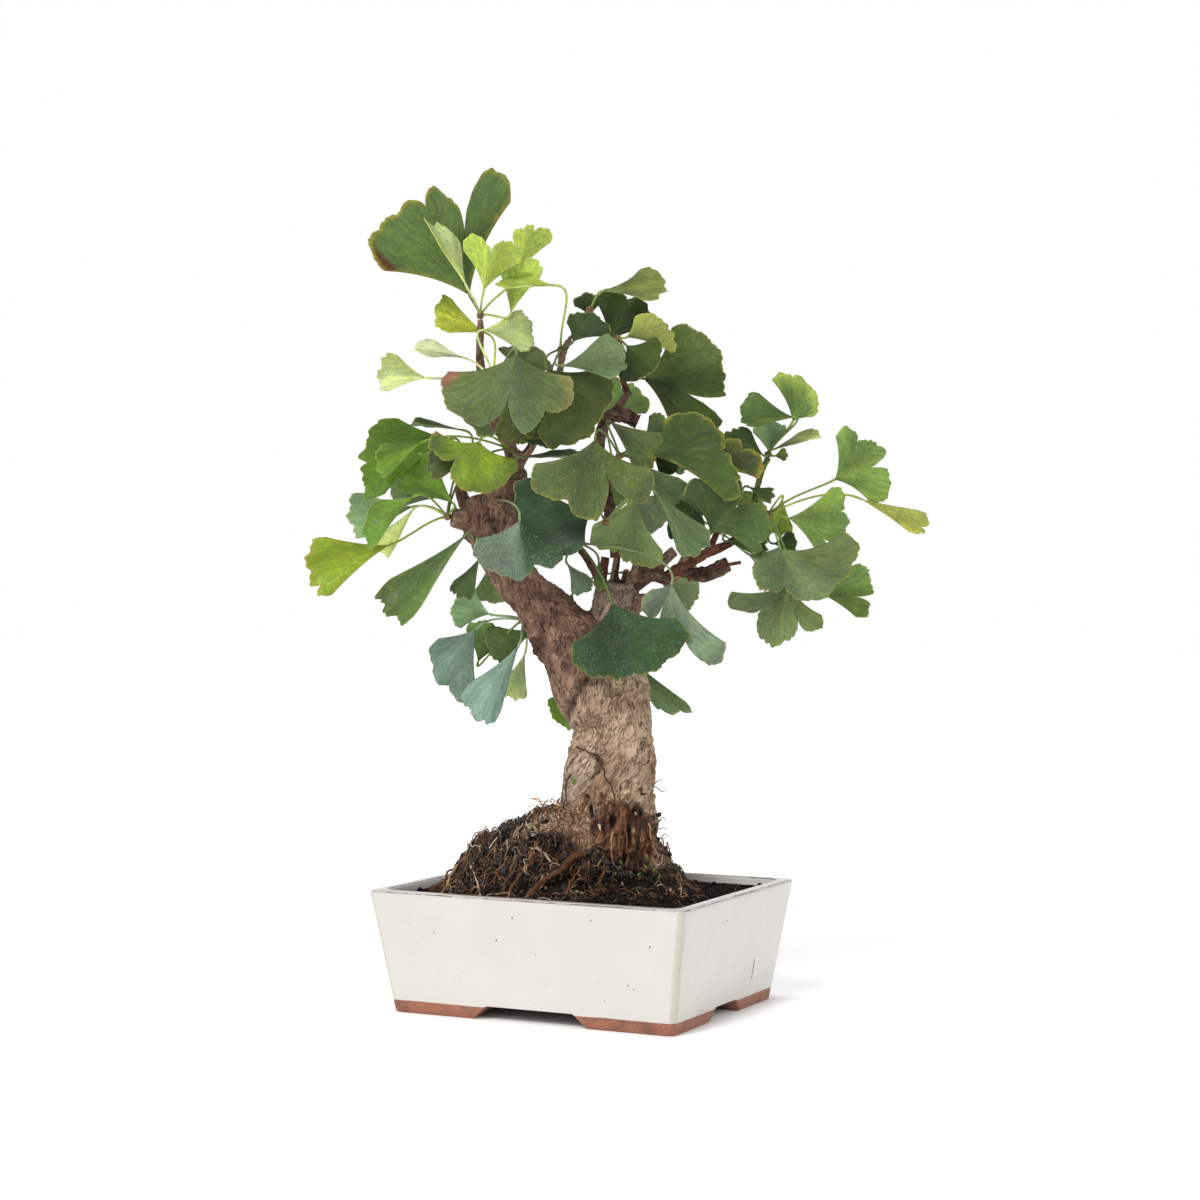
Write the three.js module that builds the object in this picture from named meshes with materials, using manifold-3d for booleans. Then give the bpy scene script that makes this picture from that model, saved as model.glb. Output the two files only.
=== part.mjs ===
// Ginkgo bonsai in a rectangular glazed pot. Millimetres, +Z up.
//
// The pot stands square to X and Y. The tree was planted turned in the pot, so the wood, the roots and
// the leaves are laid out in the tree's own frame: u across, v back, z up, from the pot's middle on the
// ground, turned TREE_TURN degrees about Z. The finished group is shifted so that the middle of the
// bottom of its bounding box is the origin.

import * as THREE from "three";
import { mergeVertices } from "three/addons/utils/BufferGeometryUtils.js";
import Module from "manifold-3d";

const wasm = await Module();
wasm.setup();

// ---------------------------------------------------------------- driving dimensions
const POT_LENGTH = 200;
const POT_DEPTH = 160;
const POT_HEIGHT = 71;
const POT_TAPER = 11;
const POT_CORNER = 4.5;
const POT_INNER_CORNER = 8;
const POT_WALL = 7.5;
const POT_FLOOR_TOP = 16;
const LIP_ROUND = 2.6;
const FOOT_HEIGHT = 8;
const FOOT_WIDTH = 12;
const FRONT_ARCH = { foot: 36.5, crown: 27.5 };
const SIDE_ARCH = { foot: 21.5, crown: 14.3 };
const DRAIN_HOLE = { radius: 7, offset: 45, sides: 20 };
const MESH_PAD = { size: 24, thickness: 1 };
const GAP = 0.35;
const TREE_TURN = 26.5;
const SOIL_EDGE = 66;
const SOIL_STEPS = 6;
const BLADE_THICKNESS = 0.7;
const PETIOLE_RADIUS = 0.8;
const KNOT_RADIUS = 2.3;

const COLOURS = {
  glaze: "#e9e4da",
  soil: "#2e2420",
  bark: "#a98c70",
  mesh: "#26282a",
  dark: "#41622f",
  teal: "#5b7d6b",
  fresh: "#7f9a45",
  young: "#b5c672",
};

// ---------------------------------------------------------------- solids
const radians = THREE.MathUtils.degToRad;
const vector = (u, v, z) => new THREE.Vector3(u, v, z);

// A closed triangle mesh becomes a solid that can be joined and cut.
function solidOf(geometry) {
  const bare = geometry.clone();
  bare.deleteAttribute("normal");
  bare.deleteAttribute("uv");
  const merged = mergeVertices(bare, 1e-4);
  const mesh = new wasm.Mesh({
    numProp: 3,
    vertProperties: new Float32Array(merged.attributes.position.array),
    triVerts: new Uint32Array(merged.index.array),
  });
  return new wasm.Manifold(mesh);
}

function geometryOf(solid) {
  const mesh = solid.getMesh();
  const geometry = new THREE.BufferGeometry();
  geometry.setAttribute("position", new THREE.BufferAttribute(mesh.vertProperties, 3));
  geometry.setIndex(new THREE.BufferAttribute(mesh.triVerts, 1));
  return geometry;
}

function join(solids) {
  return solids.reduce((whole, piece) => whole.add(piece));
}

function indexed(points, faces) {
  const geometry = new THREE.BufferGeometry();
  geometry.setFromPoints(points);
  geometry.setIndex(faces.flat());
  return geometry;
}

// Skin over a stack of rings with the same number of points, closed by a fan at each end.
function loft(rings) {
  const count = rings[0].length;
  const points = rings.flat();
  const faces = [];
  for (let r = 0; r + 1 < rings.length; r += 1) {
    for (let i = 0; i < count; i += 1) {
      const next = (i + 1) % count;
      const a = r * count + i;
      const b = r * count + next;
      faces.push([a, b, b + count], [a, b + count, a + count]);
    }
  }
  const last = (rings.length - 1) * count;
  const foot = points.length;
  points.push(middle(rings[0]), middle(rings[rings.length - 1]));
  for (let i = 0; i < count; i += 1) {
    const next = (i + 1) % count;
    faces.push([foot, next, i], [foot + 1, last + i, last + next]);
  }
  return indexed(points, faces);
}

function middle(ring) {
  return ring.reduce((sum, point) => sum.add(point), vector(0, 0, 0)).divideScalar(ring.length);
}

function box(width, depth, height, x, y, z) {
  return solidOf(new THREE.BoxGeometry(width, depth, height).translate(x, y, z));
}

// ---------------------------------------------------------------- pot
function roundedRectangle(halfX, halfY, corner, z, perCorner = 3) {
  const ring = [];
  for (let quarter = 0; quarter < 4; quarter += 1) {
    const right = quarter === 0 || quarter === 3 ? 1 : -1;
    const back = quarter < 2 ? 1 : -1;
    for (let i = 0; i <= perCorner; i += 1) {
      const angle = (quarter + i / perCorner) * Math.PI / 2;
      const x = right * (halfX - corner) + corner * Math.cos(angle);
      const y = back * (halfY - corner) + corner * Math.sin(angle);
      ring.push(vector(x, y, z));
    }
  }
  return ring;
}

// Half sizes of the pot's outside at a height: the walls lean out evenly from foot to rim.
function potHalf(z, inset = 0) {
  const lean = POT_TAPER * (1 - z / POT_HEIGHT);
  return [POT_LENGTH / 2 - lean - inset, POT_DEPTH / 2 - lean - inset];
}

function potRing(z, inset, corner) {
  const [halfX, halfY] = potHalf(z, inset);
  return roundedRectangle(halfX, halfY, corner, z);
}

// An arch is cut along X or Y right through the foot band; its ends slope in towards the top.
function arch(shape, length, alongX) {
  const outline = new THREE.Shape([
    new THREE.Vector2(-shape.foot, 0),
    new THREE.Vector2(shape.foot, 0),
    new THREE.Vector2(shape.crown, FOOT_HEIGHT),
    new THREE.Vector2(-shape.crown, FOOT_HEIGHT),
  ]);
  const geometry = new THREE.ExtrudeGeometry(outline, { depth: length, bevelEnabled: false });
  geometry.translate(0, 0, -length / 2).rotateX(Math.PI / 2);
  if (alongX) {
    geometry.rotateZ(Math.PI / 2);
  }
  return solidOf(geometry);
}

function pot() {
  const lip = LIP_ROUND;
  const outside = solidOf(loft([
    potRing(0, 1.2, POT_CORNER),
    potRing(1.2, 0, POT_CORNER),
    potRing(POT_HEIGHT - lip, 0, POT_CORNER),
    potRing(POT_HEIGHT - lip * 0.3, lip * 0.3, POT_CORNER - 1),
    potRing(POT_HEIGHT, lip, POT_CORNER - 2),
  ]));
  const inside = solidOf(loft([
    potRing(POT_FLOOR_TOP, POT_WALL + 3, POT_INNER_CORNER),
    potRing(POT_FLOOR_TOP + 4, POT_WALL, POT_INNER_CORNER),
    potRing(POT_HEIGHT - 2, POT_WALL, POT_INNER_CORNER),
    potRing(POT_HEIGHT + 1, POT_WALL - 2, POT_INNER_CORNER),
  ]));
  const [footX, footY] = potHalf(0, FOOT_WIDTH);
  const recess = solidOf(loft([
    roundedRectangle(footX, footY, 4, -1),
    roundedRectangle(footX - 1.5, footY - 1.5, 4, FOOT_HEIGHT),
  ]));
  const reach = POT_LENGTH + 20;
  let body = outside.subtract(inside).subtract(recess);
  body = body.subtract(arch(FRONT_ARCH, reach, false)).subtract(arch(SIDE_ARCH, reach, true));
  for (const side of [-1, 1]) {
    const { radius, offset, sides } = DRAIN_HOLE;
    const drill = new THREE.CylinderGeometry(radius, radius, 30, sides).rotateX(Math.PI / 2);
    drill.translate(side * offset, 0, POT_FLOOR_TOP - 2);
    body = body.subtract(solidOf(drill));
  }
  return body;
}

function drainMesh(side) {
  const { size, thickness } = MESH_PAD;
  const x = side * DRAIN_HOLE.offset;
  return box(size, size, thickness, x, 0, POT_FLOOR_TOP + GAP + thickness / 2);
}

// ---------------------------------------------------------------- wood
// A stem is a list of stations [u, v, z, radius]. A thick one has shallow flutes. `grow` gives the same
// stem with every side moved out by that much, which cuts its hole in the soil.
function stem(stations, sides, perSpan = 2, grow = 0) {
  const spine = stations.map(([u, v, z]) => vector(u, v, z));
  const curve = new THREE.CatmullRomCurve3(spine, false, "centripetal");
  const spans = stations.length - 1;
  const rings = [];
  const side = vector(1, 0, 0);
  for (let step = 0; step <= spans * perSpan; step += 1) {
    const place = step / perSpan;
    const at = Math.min(Math.floor(place), spans - 1);
    const bare = THREE.MathUtils.lerp(stations[at][3], stations[at + 1][3], place - at);
    const radius = bare + grow / Math.cos(Math.PI / sides);
    const along = curve.getTangent(place / spans);
    const end = step === 0 ? -1 : Number(step === spans * perSpan);
    const centre = curve.getPoint(place / spans).addScaledVector(along, end * grow);
    side.addScaledVector(along, -side.dot(along));
    if (side.length() < 0.1) {
      side.set(0, 1, 0).addScaledVector(along, -along.y);
    }
    side.normalize();
    const other = along.clone().cross(side);
    const ring = [];
    for (let i = 0; i < sides; i += 1) {
      const angle = i / sides * Math.PI * 2;
      const flute = 1 + (sides > 9 ? 0.05 * Math.sin(3 * angle + place) : 0);
      const point = centre.clone();
      point.addScaledVector(side, radius * flute * Math.cos(angle));
      point.addScaledVector(other, radius * flute * Math.sin(angle));
      ring.push(point);
    }
    rings.push(ring);
  }
  return solidOf(loft(rings));
}

const BUTT = [[8, 2, 52, 26], [8, 2, 80, 31], [12, 1, 100, 28], [13, 0, 130, 27], [17, 0, 150, 25],
  [17, 0, 166, 22], [13, 0, 182, 24]];
const ROOTS = [
  [[2, 0, 110, 14], [-18, -3, 107, 10], [-34, -4, 101, 8], [-52, -2, 92, 6], [-66, 0, 76, 4]],
  [[0, -8, 96, 12], [-8, -22, 87, 6.5], [-20, -30, 79, 4.5], [-34, -36, 66, 3]],
  [[30, -4, 94, 12], [42, -8, 82, 8], [49, -14, 68, 5]],
  [[18, 12, 96, 14], [26, 28, 80, 9], [32, 42, 66, 6]],
  [[-2, 14, 98, 12], [-20, 26, 84, 8], [-34, 36, 68, 5]],
];
const FINE_ROOTS = [
  [[-30, -12, 96, 1.2], [-25, -22, 88, 1.1], [-20, -26, 82, 1], [-21, -30, 74, 0.9]],
  [[-58, -1, 86, 1.1], [-73, -11, 84, 1], [-80, -14, 76, 0.9], [-82, -16, 64, 0.9]],
  [[-60, -1, 84, 1.1], [-68, -16, 83, 1], [-74, -22, 74, 0.9], [-76, -24, 64, 0.9]],
  [[-42, -4, 96, 1.2], [-48, -19, 88, 1], [-52, -30, 76, 0.9], [-54, -34, 64, 0.9]],
  [[-33, -5, 99, 1.1], [-38, -22, 88, 1], [-44, -34, 76, 0.9], [-50, -40, 64, 0.9]],
  [[-4, -24, 84, 1.1], [-8, -34, 76, 1], [-12, -42, 68, 0.9], [-14, -46, 60, 0.9]],
];
const LIMBS = [
  [[15, 0, 166, 20], [4, 0, 186, 25], [-1, 0, 203, 24], [-12, -1, 217, 20], [-30, -2, 238, 14],
    [-46, -2, 256, 12], [-57, -1, 276, 11.5], [-62, 1, 298, 8]],
  [[17, 0, 168, 21], [17, 0, 200, 18], [16, 0, 222, 15], [18, 0, 238, 14], [20, 0, 247, 8]],
];
// The thick foot of the leaders, then cut stubs, leaders, twigs and the short spurs that carry the leaves.
const BRANCHES = [
  [[-40, 1, 256, 12], [-46, 2, 280, 15], [-45, 2, 300, 14], [-39, 2, 315, 6]],
  [[-58, 0, 280, 8], [-70, -1, 284, 7], [-78, -3, 285, 5.5]],
  [[-66, 4, 284, 5], [-72, 9, 298, 4], [-74, 11, 305, 3]],
  [[-58, 0, 286, 8], [-50, 0, 303, 6.5], [-42, 0, 318, 5], [-47, 0, 333, 4], [-57, 0, 348, 3.5],
    [-61, 0, 376, 3], [-61, 0, 401, 2]],
  [[-47, 0, 306, 5], [-30, 3, 330, 3.5], [-18, 2, 358, 2.8], [-13, 0, 380, 2.4], [-8, 0, 391, 2],
    [2, 0, 405, 1.8]],
  [[15, 0, 236, 5], [18, 1, 252, 3.4], [20, 1, 266, 3]],
  [[24, 0, 238, 6], [29, 1, 252, 3.6], [34, 1, 267, 3]],
  [[9, 2, 238, 4], [10, 3, 250, 3], [12, 4, 262, 2.4]],
  [[22, -3, 234, 7], [34, -5, 236, 5.5], [45, -6, 236, 5]],
  [[22, 1, 242, 6], [36, 1, 251, 5], [46, 1, 260, 4], [53, 1, 266, 3.6]],
  [[40, 0, 252, 4.4], [50, -1, 249, 4], [62, -3, 266, 2.4], [75, -4, 278, 1.9], [88, -5, 282, 1.6]],
  [[48, -1, 250, 4], [66, -2, 262, 3], [84, -2, 270, 2.4], [98, -2, 280, 2], [105, -3, 285, 1.8]],
  [[96, -2, 278, 1.8], [99, -1, 295, 1.7], [103, 0, 311, 1.6], [107, 0, 320, 1.6]],
  [[55, 1, 254, 3], [70, 3, 252, 4.6], [84, 4, 258, 4.4]],
  [[18, 1, 262, 3], [14, 2, 292, 3.6], [8, 2, 322, 3.4], [12, 1, 342, 3.6], [18, 0, 348, 2.4],
    [26, -1, 359, 1.8]],
  [[10, 1, 343, 3.6], [22, 0, 345, 4.4], [31, 0, 341, 4]],
  [[12, 2, 240, 3], [4, -6, 256, 1.9], [-4, -12, 268, 1.6]],
  [[14, 2, 292, 2], [12, -11, 283, 1.6]],
  [[60, -2, 249, 1.3], [76, -2, 256, 1.1], [91, -2, 259, 1]],
  [[25, -1, 357, 1.9], [20, 5, 374, 1.6], [18.8, -7.4, 387.2, 1.1]],
  [[11, 2, 312, 2.4], [15, -4, 316, 1.8], [19, -8, 319, 1.6]],
  [[-43, 0, 318, 2.5], [-43, -6, 321, 2], [-43, -9, 323, 1.8]],
  [[-57, 0, 350, 2.2], [-55, -7, 356, 1.8], [-52, -12, 362, 1.6]],
  [[-25, 3, 228, 5], [-31, 9, 226, 2.4], [-35, 14, 225, 1.8]],
  [[10, 6, 190, 6], [11, 22, 198, 2.4], [12, 28, 203, 1.8]],
  [[-50, 2, 262, 4], [-62, 18, 268, 2.4], [-70, 30, 274, 1.8]],
  [[-44, 2, 322, 3], [-42, 18, 336, 2.2], [-40, 28, 348, 1.8]],
  [[13, 3, 296, 3], [14, 20, 306, 2.2], [16, 30, 316, 1.8]],
  [[68, -1, 262, 2.6], [74, 16, 268, 2.2], [78, 26, 276, 1.8]],
  [[20, 6, 238, 4], [22, 24, 244, 2.2], [24, 34, 252, 1.8]],
];

function branch(stations, grow = 0) {
  const widest = Math.max(...stations.map((station) => station[3]));
  const sides = Math.round(Math.min(7, Math.max(4, widest + 1)));
  return stem(stations, sides, 1, grow);
}

function footOfTree(grow) {
  const fine = FINE_ROOTS.map((root) => stem(root, 3, 1, grow));
  return join([stem(BUTT, 12, 2, grow), ...ROOTS.map((root) => stem(root, 6, 1, grow)), ...fine]);
}

function knot(spur, radius) {
  return solidOf(new THREE.IcosahedronGeometry(radius, 0).translate(...spur));
}

// A pale burl stands out of the butt's front, and old rot has left a shallow hollow beside it.
const BURL = [[-6, -14, 124, 6], [-1, -19, 136, 9], [6, -17, 150, 6]];
const HOLLOW = { at: [25, -31, 103], reach: [12, 7, 17] };

function rot() {
  return solidOf(new THREE.IcosahedronGeometry(1, 1).scale(...HOLLOW.reach).translate(...HOLLOW.at));
}

// Each spur bud sits in a small socket at the end of its twig.
function wood() {
  const limbs = [...LIMBS.map((limb) => stem(limb, 10)), stem(BURL, 6, 1), ...BRANCHES.map((b) => branch(b))];
  const body = join([footOfTree(0), ...limbs]).subtract(rot());
  return SPRAYS.reduce((left, spray) => left.subtract(knot(spray.spur, KNOT_RADIUS + GAP)), body);
}

// ---------------------------------------------------------------- soil
// The soil lies level inside the rim and heaps up round the roots.
const MOUNDS = [
  { at: [8, 4], high: 16, wide: 38 },
  { at: [-46, 0], high: 27, wide: 30 },
  { at: [-66, 2], high: 9, wide: 14 },
  { at: [-16, 2], high: 18, wide: 26 },
  { at: [40, 4], high: 14, wide: 18 },
];

function soilHeight(x, y) {
  const turn = radians(TREE_TURN);
  const u = x * Math.cos(turn) + y * Math.sin(turn);
  const v = y * Math.cos(turn) - x * Math.sin(turn);
  let height = SOIL_EDGE;
  for (const { at, high, wide } of MOUNDS) {
    const away = Math.hypot(u - at[0], v - at[1]) / wide;
    height += high * Math.exp(-(away ** 2.4));
  }
  return height + 0.7 * Math.sin(0.31 * u) * Math.cos(0.27 * v + 1);
}

function soil() {
  const rings = [
    potRing(POT_FLOOR_TOP + 2 * GAP + MESH_PAD.thickness, POT_WALL + 3.4, POT_INNER_CORNER),
    potRing(POT_FLOOR_TOP + 5, POT_WALL + GAP, POT_INNER_CORNER),
    potRing(SOIL_EDGE, POT_WALL + GAP, POT_INNER_CORNER),
  ];
  const edge = rings[2];
  for (let step = 1; step < SOIL_STEPS; step += 1) {
    const inward = 1 - step / SOIL_STEPS;
    const fade = Math.min(1, step / 2);
    rings.push(edge.map((point) => {
      const x = point.x * inward;
      const y = point.y * inward;
      return vector(x, y, THREE.MathUtils.lerp(SOIL_EDGE, soilHeight(x, y), fade));
    }));
  }
  return solidOf(loft(rings)).subtract(turned(footOfTree(GAP)));
}

function turned(solid) {
  return solid.rotate([0, 0, TREE_TURN]);
}

// ---------------------------------------------------------------- leaves
// A leaf row is: u, v, z of the blade's base; aim, the way it points, in degrees clockwise from straight
// up as seen from the front; nod, degrees that it leans to the front; size from base to margin; fan,
// its spread in degrees; roll, degrees that its face turns from the front; cup, degrees that its halves
// fold forward; bend, degrees that it curls back; its cuts as [place from -1 to 1, depth, half width if not
// CUT_WIDTH]; and, where the two sides differ, how much longer the clockwise side is.
const SPRAYS = [
  {
    name: "spray_crown", tone: "young", spur: [-61, -1, 403],
    leaves: [
      [-67, -5, 414, -25, 8, 71, 99, 0, 8, 8, [[0.43, 0.5, 0.28], [-0.02, 0.2, 0.5]], 0.09],
      [-68, -28, 418, -24, 3, 38, 56, 55, 20, 5, [], -0.25],
      [-58, -20, 415.5, 14, 10, 33, 82, 0, 15, 0, [[-0.08, 0.4, 0.42]]],
      [-38, -5, 428, 17, 0, 28, 60, 20, 10, 5, [[0.1, 0.12, 0.2]], 0.15],
      [-43, -8, 403, 11, 3, 35, 58, 10, 20, 0, [[0.08, 0.1, 0.12]]],
    ],
  },
  {
    name: "spray_shoulder", tone: "young", spur: [-52, -14, 363],
    leaves: [
      [-59, 8, 394, -70, 0, 31, 58, 25, 15, 5, [], 0.15],
      [-59, -7, 394, 90, 0, 29, 66, -10, 12, 5, [], 0.1],
      [-71, -8, 378, -78, 5, 29, 90, 70, 10, 5, []],
      [-92, -10, 366, -82, 0, 28, 62, 15, 15, 5, []],
      [-38.5, -45, 377, 184, 12, 46, 145, 0, -8, 12, [[0.08, 0.56, 0.2], [-0.42, 0.2, 0.14]], 0.12],
      [-38, -20, 361, 180, 4, 33, 60, 0, 0, 8, []],
    ],
  },
  {
    name: "spray_leader", tone: "teal", spur: [-14, -2, 383],
    leaves: [
      [-17, -32, 417, -88, 0, 33, 110, 72, 12, 8, []],
      [-7, -12, 386.5, 32, 5, 20, 100, 0, 10, 5, [], 0.25],
      [-12, -34, 371, 80, 0, 36, 76, -42, 10, 8, []],
      [-21.5, -28, 370, 146, 12, 45, 112, 0, -6, 12, [[0.78, 0.35]], 0.14],
      [-24, -5, 353, 176, 2, 27, 62, 0, 5, 5, []],
    ],
  },
  {
    name: "spray_leader_tip", tone: "fresh", spur: [3, 0, 406.5],
    leaves: [
      [11, -5, 417, 86, 0, 37, 82, -58, 12, 5, []],
      [14, 8, 389, 28, 0, 31, 95, 0, 10, 5, [[-0.1, 0.12]]],
      [3, 15, 404, -8, 0, 14, 100, 0, 10, 5, []],
    ],
  },
  {
    name: "spray_right_leader", tone: "dark", spur: [19, -9, 389],
    leaves: [
      [24, -14, 389, 66, 4, 24, 88, 0, 10, 5, [[0.3, 0.1, 0.16]], 0.38],
      [24, -18, 384, 135, 8, 21.5, 126, 0, -10, 10, []],
      [34, -3, 366, 93, 2, 49, 128, 0, 8, 6, [[0.26, 0.62, 0.13], [0.66, 0.45, 0.14]], 0.14],
    ],
  },
  {
    name: "spray_inner", tone: "dark", spur: [20, -9, 321],
    leaves: [
      [39, -26, 320, 70, 8, 43, 105, 0, 10, 5, [[0.3, 0.22, 0.35]], 0.4],
      [31, -12, 317, 132, 2, 34, 60, 45, 15, 8, []],
      [6, -52, 328, 183, 12, 45, 132, 0, -8, 12, [[0.35, 0.17], [-0.33, 0.56]]],
      [14, -12, 341, 128, 0, 36, 50, 0, 8, 5, []],
      [38, 3, 325, 128, 0, 20, 64, 0, -10, 5, []],
    ],
  },
  {
    name: "spray_left_leader", tone: "fresh", spur: [-43, -10.5, 324.4],
    leaves: [
      [-60, -32, 328, 199, 6, 30, 172, 0, -8, 8, [[0.4, 0.52, 0.35]], 0.05],
      [-64, -22, 319, -100, 0, 27, 50, 20, 10, 5, []],
      [-94, -19, 328, -116, 5, 29, 52, 10, 30, 5, [], -0.12],
      [-37, -24, 319.5, 88, 3, 35, 80, -78, 10, 5, []],
    ],
  },
  {
    name: "spray_heart", tone: "teal", spur: [12, -13, 282],
    leaves: [
      [4, -30, 288, -115, 5, 38, 110, 10, 10, 8, [], 0.32],
      [28.5, -14.5, 297, 194, 0, 40, 84, 0, -6, 3, [[0.05, 0.22, 0.55]], -0.12],
      [41, -23, 299, 142, 6, 43, 42, 10, 32, 5, []],
      [40, -2, 301, 132, 0, 26, 50, 20, 10, 5, []],
      [50, 11, 304, 158, 0, 32, 52, 0, -5, 5, []],
    ],
  },
  {
    name: "spray_left", tone: "fresh", spur: [-80, -3.6, 285.7],
    leaves: [
      [-78, -6, 331, -100, 6, 53, 62, 10, 8, 8, [[-0.2, 0.14, 0.12]], -0.2],
      [-72, 12, 337, -80, 0, 30, 60, 78, 10, 5, []],
      [-76, -10, 293, -50, 0, 35, 60, 0, 15, 5, []],
      [-101, 14, 292, -100, 0, 39, 52, 10, 10, 5, []],
      [-98, -22, 297, -120, 5, 34, 50, 20, 15, 12, [], -0.28],
      [-100, -4, 290, -140, 0, 32, 45, 40, 15, 8, []],
      [-113, -15, 269, -107, 5, 49.5, 50, 0, 14, 8, [[-0.55, 0.14, 0.14]], -0.08],
    ],
  },
  {
    name: "spray_limb_side", tone: "dark", spur: [-64, -9, 271],
    leaves: [
      [-68, -24, 275, -135, 5, 64, 33, 10, 30, 6, []],
      [-60, -24, 262, -152, 8, 26.5, 40, 10, 10, 5, []],
    ],
  },
  {
    name: "spray_limb_front", tone: "teal", spur: [-51, -12.6, 295],
    leaves: [
      [-36.7, -42, 283, 185, 10, 34, 125, 0, -8, 12, [[-0.37, 0.25]]],
    ],
  },
  {
    name: "spray_under_limb", tone: "teal", spur: [-36.6, 15.6, 225],
    leaves: [
      [-64, 22, 220, -142, 0, 39, 78, 0, 15, 8, [[-0.3, 0.08, 0.15]], -0.25],
      [-39, 2, 210, -149, 0, 50, 60, 45, 15, 8, [[-0.5, 0.1, 0.2], [0.3, 0.1, 0.2]]],
      [-64, 30, 199.5, 18, 0, 25, 80, 180, 15, 5, []],
      [-56, 12, 228.5, -73, 0, 23, 90, 10, 15, 5, []],
      [-38, 25, 230, 150, 0, 17, 54, 0, 15, 5, []],
      [-36, 36, 205, -162, 0, 29, 46, 20, 10, 5, []],
      [-30, 20, 219, -112, 0, 30, 56, 0, 10, 5, []],
    ],
  },
  {
    name: "spray_behind_trunk", tone: "dark", spur: [12, 29.4, 204.4],
    leaves: [
      [-3, 32, 178, -130, 0, 20, 90, 10, 10, 5, []],
      [30.5, 28, 199, 143, 0, 38, 38, 20, 20, 5, [], -0.25],
    ],
  },
  {
    name: "spray_fork", tone: "dark", spur: [-4, -14, 270],
    leaves: [
      [15.8, -38, 236, 164, 6, 46, 122, 0, -8, 6, [[-0.02, 0.14]], -0.08],
      [50, -26, 247, 196, 8, 38, 116, 0, 12, 8, [[-0.45, 0.6, 0.25], [0.1, 0.62, 0.5]], -0.6],
      [-10, -24, 258, 140, 5, 20, 70, 40, 20, 5, []],
      [8, -22, 261, 175, 0, 18, 60, 60, 10, 5, []],
    ],
  },
  {
    name: "spray_right_low", tone: "dark", spur: [90, -6, 283],
    leaves: [
      [72, -22, 277, 40, 6, 34, 156, 0, 10, 6, [[0.1, 0.5, 0.2], [0.82, 0.16, 0.12]], 0.08],
      [95, -8, 303, 116, 0, 16, 60, -40, 15, 5, []],
      [81, -12, 271.5, 99, 0, 25, 36, 5, 10, 5, []],
    ],
  },
  {
    name: "spray_right_top", tone: "fresh", spur: [107, 0, 322],
    leaves: [
      [121, -4, 341, 25, 0, 24, 107, 0, 12, 5, [[-0.5, 0.14, 0.14]], -0.38],
      [121, -12, 343, -84, 0, 31, 64, 28, 25, 5, []],
      [108, 5, 323, 0, 0, 19, 80, 0, 10, 5, []],
      [110, 3, 325, 70, 0, 29, 70, -72, 10, 5, []],
      [104, -8, 321, -58, 5, 26, 62, 0, 10, 6, [[0.1, 0.1, 0.2]], -0.25],
      [110, -5, 321, 85, 0, 8, 80, -20, 10, 5, []],
    ],
  },
  {
    name: "spray_right_end", tone: "fresh", spur: [106.6, -3.8, 286.6],
    leaves: [
      [145, -8, 307, 62, 5, 33, 124, 0, 12, 6, [[0.16, 0.4, 0.14], [-0.52, 0.22, 0.3]]],
      [159, -14, 296, 113, 5, 42, 27, -10, 28, 6, []],
      [117, -22, 284.5, 98, 5, 35, 88, 0, 10, 6, [[-0.35, 0.16, 0.3], [0.54, 0.36, 0.2]], -0.05],
      [112, -30, 267, 161, 8, 34, 170, 0, 8, 8, [[0.16, 0.3, 0.4]], -0.42],
      [118, -16, 247, 198, 5, 38, 128, 0, -8, 8, [[-0.5, 0.4, 0.36], [0.45, 0.42, 0.5]], 0.08],
      [136, -6, 241, 86, 0, 32, 76, 0, 15, 6, [[0.25, 0.38, 0.15]]],
      [110, 2, 270, 88, 0, 14, 80, -20, 10, 5, []],
      [78, -18, 311, 36, 5, 22, 130, 0, 10, 6, [[0.14, 0.24, 0.16]], 0.26],
      [116, 6, 297, 190, 0, 22, 60, 10, 10, 5, []],
    ],
  },
  {
    name: "spray_back_left", tone: "dark", spur: [-71, 31.5, 274.7],
    leaves: [
      [-84, 42, 298, -68, -25, 36, 70, 200, 12, 8, []],
      [-56, 50, 264, 160, -42, 36, 90, 165, 12, 10, [[0.1, 0.3]]],
      [-42, 48, 284, 176, -30, 32, 76, 190, 12, 8, []],
    ],
  },
  {
    name: "spray_back_crown", tone: "dark", spur: [-40, 29, 349.5],
    leaves: [
      [-48, 44, 368, -165, -28, 40, 110, 190, 10, 10, [[0.1, 0.3]]],
      [-12, 48, 366, 182, -42, 38, 100, 168, 10, 10, []],
      [-40, 40, 372, 20, -50, 30, 90, 180, 12, 6, []],
    ],
  },
  {
    name: "spray_back_middle", tone: "fresh", spur: [16.3, 31.3, 317.3],
    leaves: [
      [6, 48, 326, -172, -25, 38, 110, 195, 10, 10, [[-0.1, 0.3]]],
      [32, 46, 326, 72, -40, 38, 85, 165, 12, 8, []],
      [32, 54, 300, 150, -50, 34, 95, 170, 12, 10, []],
      [14, 46, 344, 20, -32, 34, 95, 190, 12, 6, [[0, 0.25]]],
    ],
  },
  {
    name: "spray_back_right", tone: "fresh", spur: [78.5, 27.3, 277],
    leaves: [
      [88, 40, 284, 75, -35, 28, 100, 170, 12, 8, []],
      [70, 46, 286, -15, -50, 28, 90, 190, 12, 8, []],
      [98, 38, 264, 118, -28, 42, 80, 150, 12, 10, [[0.1, 0.25]]],
    ],
  },
  {
    name: "spray_back_low", tone: "teal", spur: [24.3, 35.4, 253],
    leaves: [
      [20, 50, 238, 182, -30, 40, 105, 175, 10, 10, [[0, 0.3]]],
      [-8, 62, 240, -160, -45, 34, 85, 200, 12, 10, []],
      [44, 50, 250, 110, -40, 34, 90, 165, 12, 8, []],
    ],
  },
];

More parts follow.
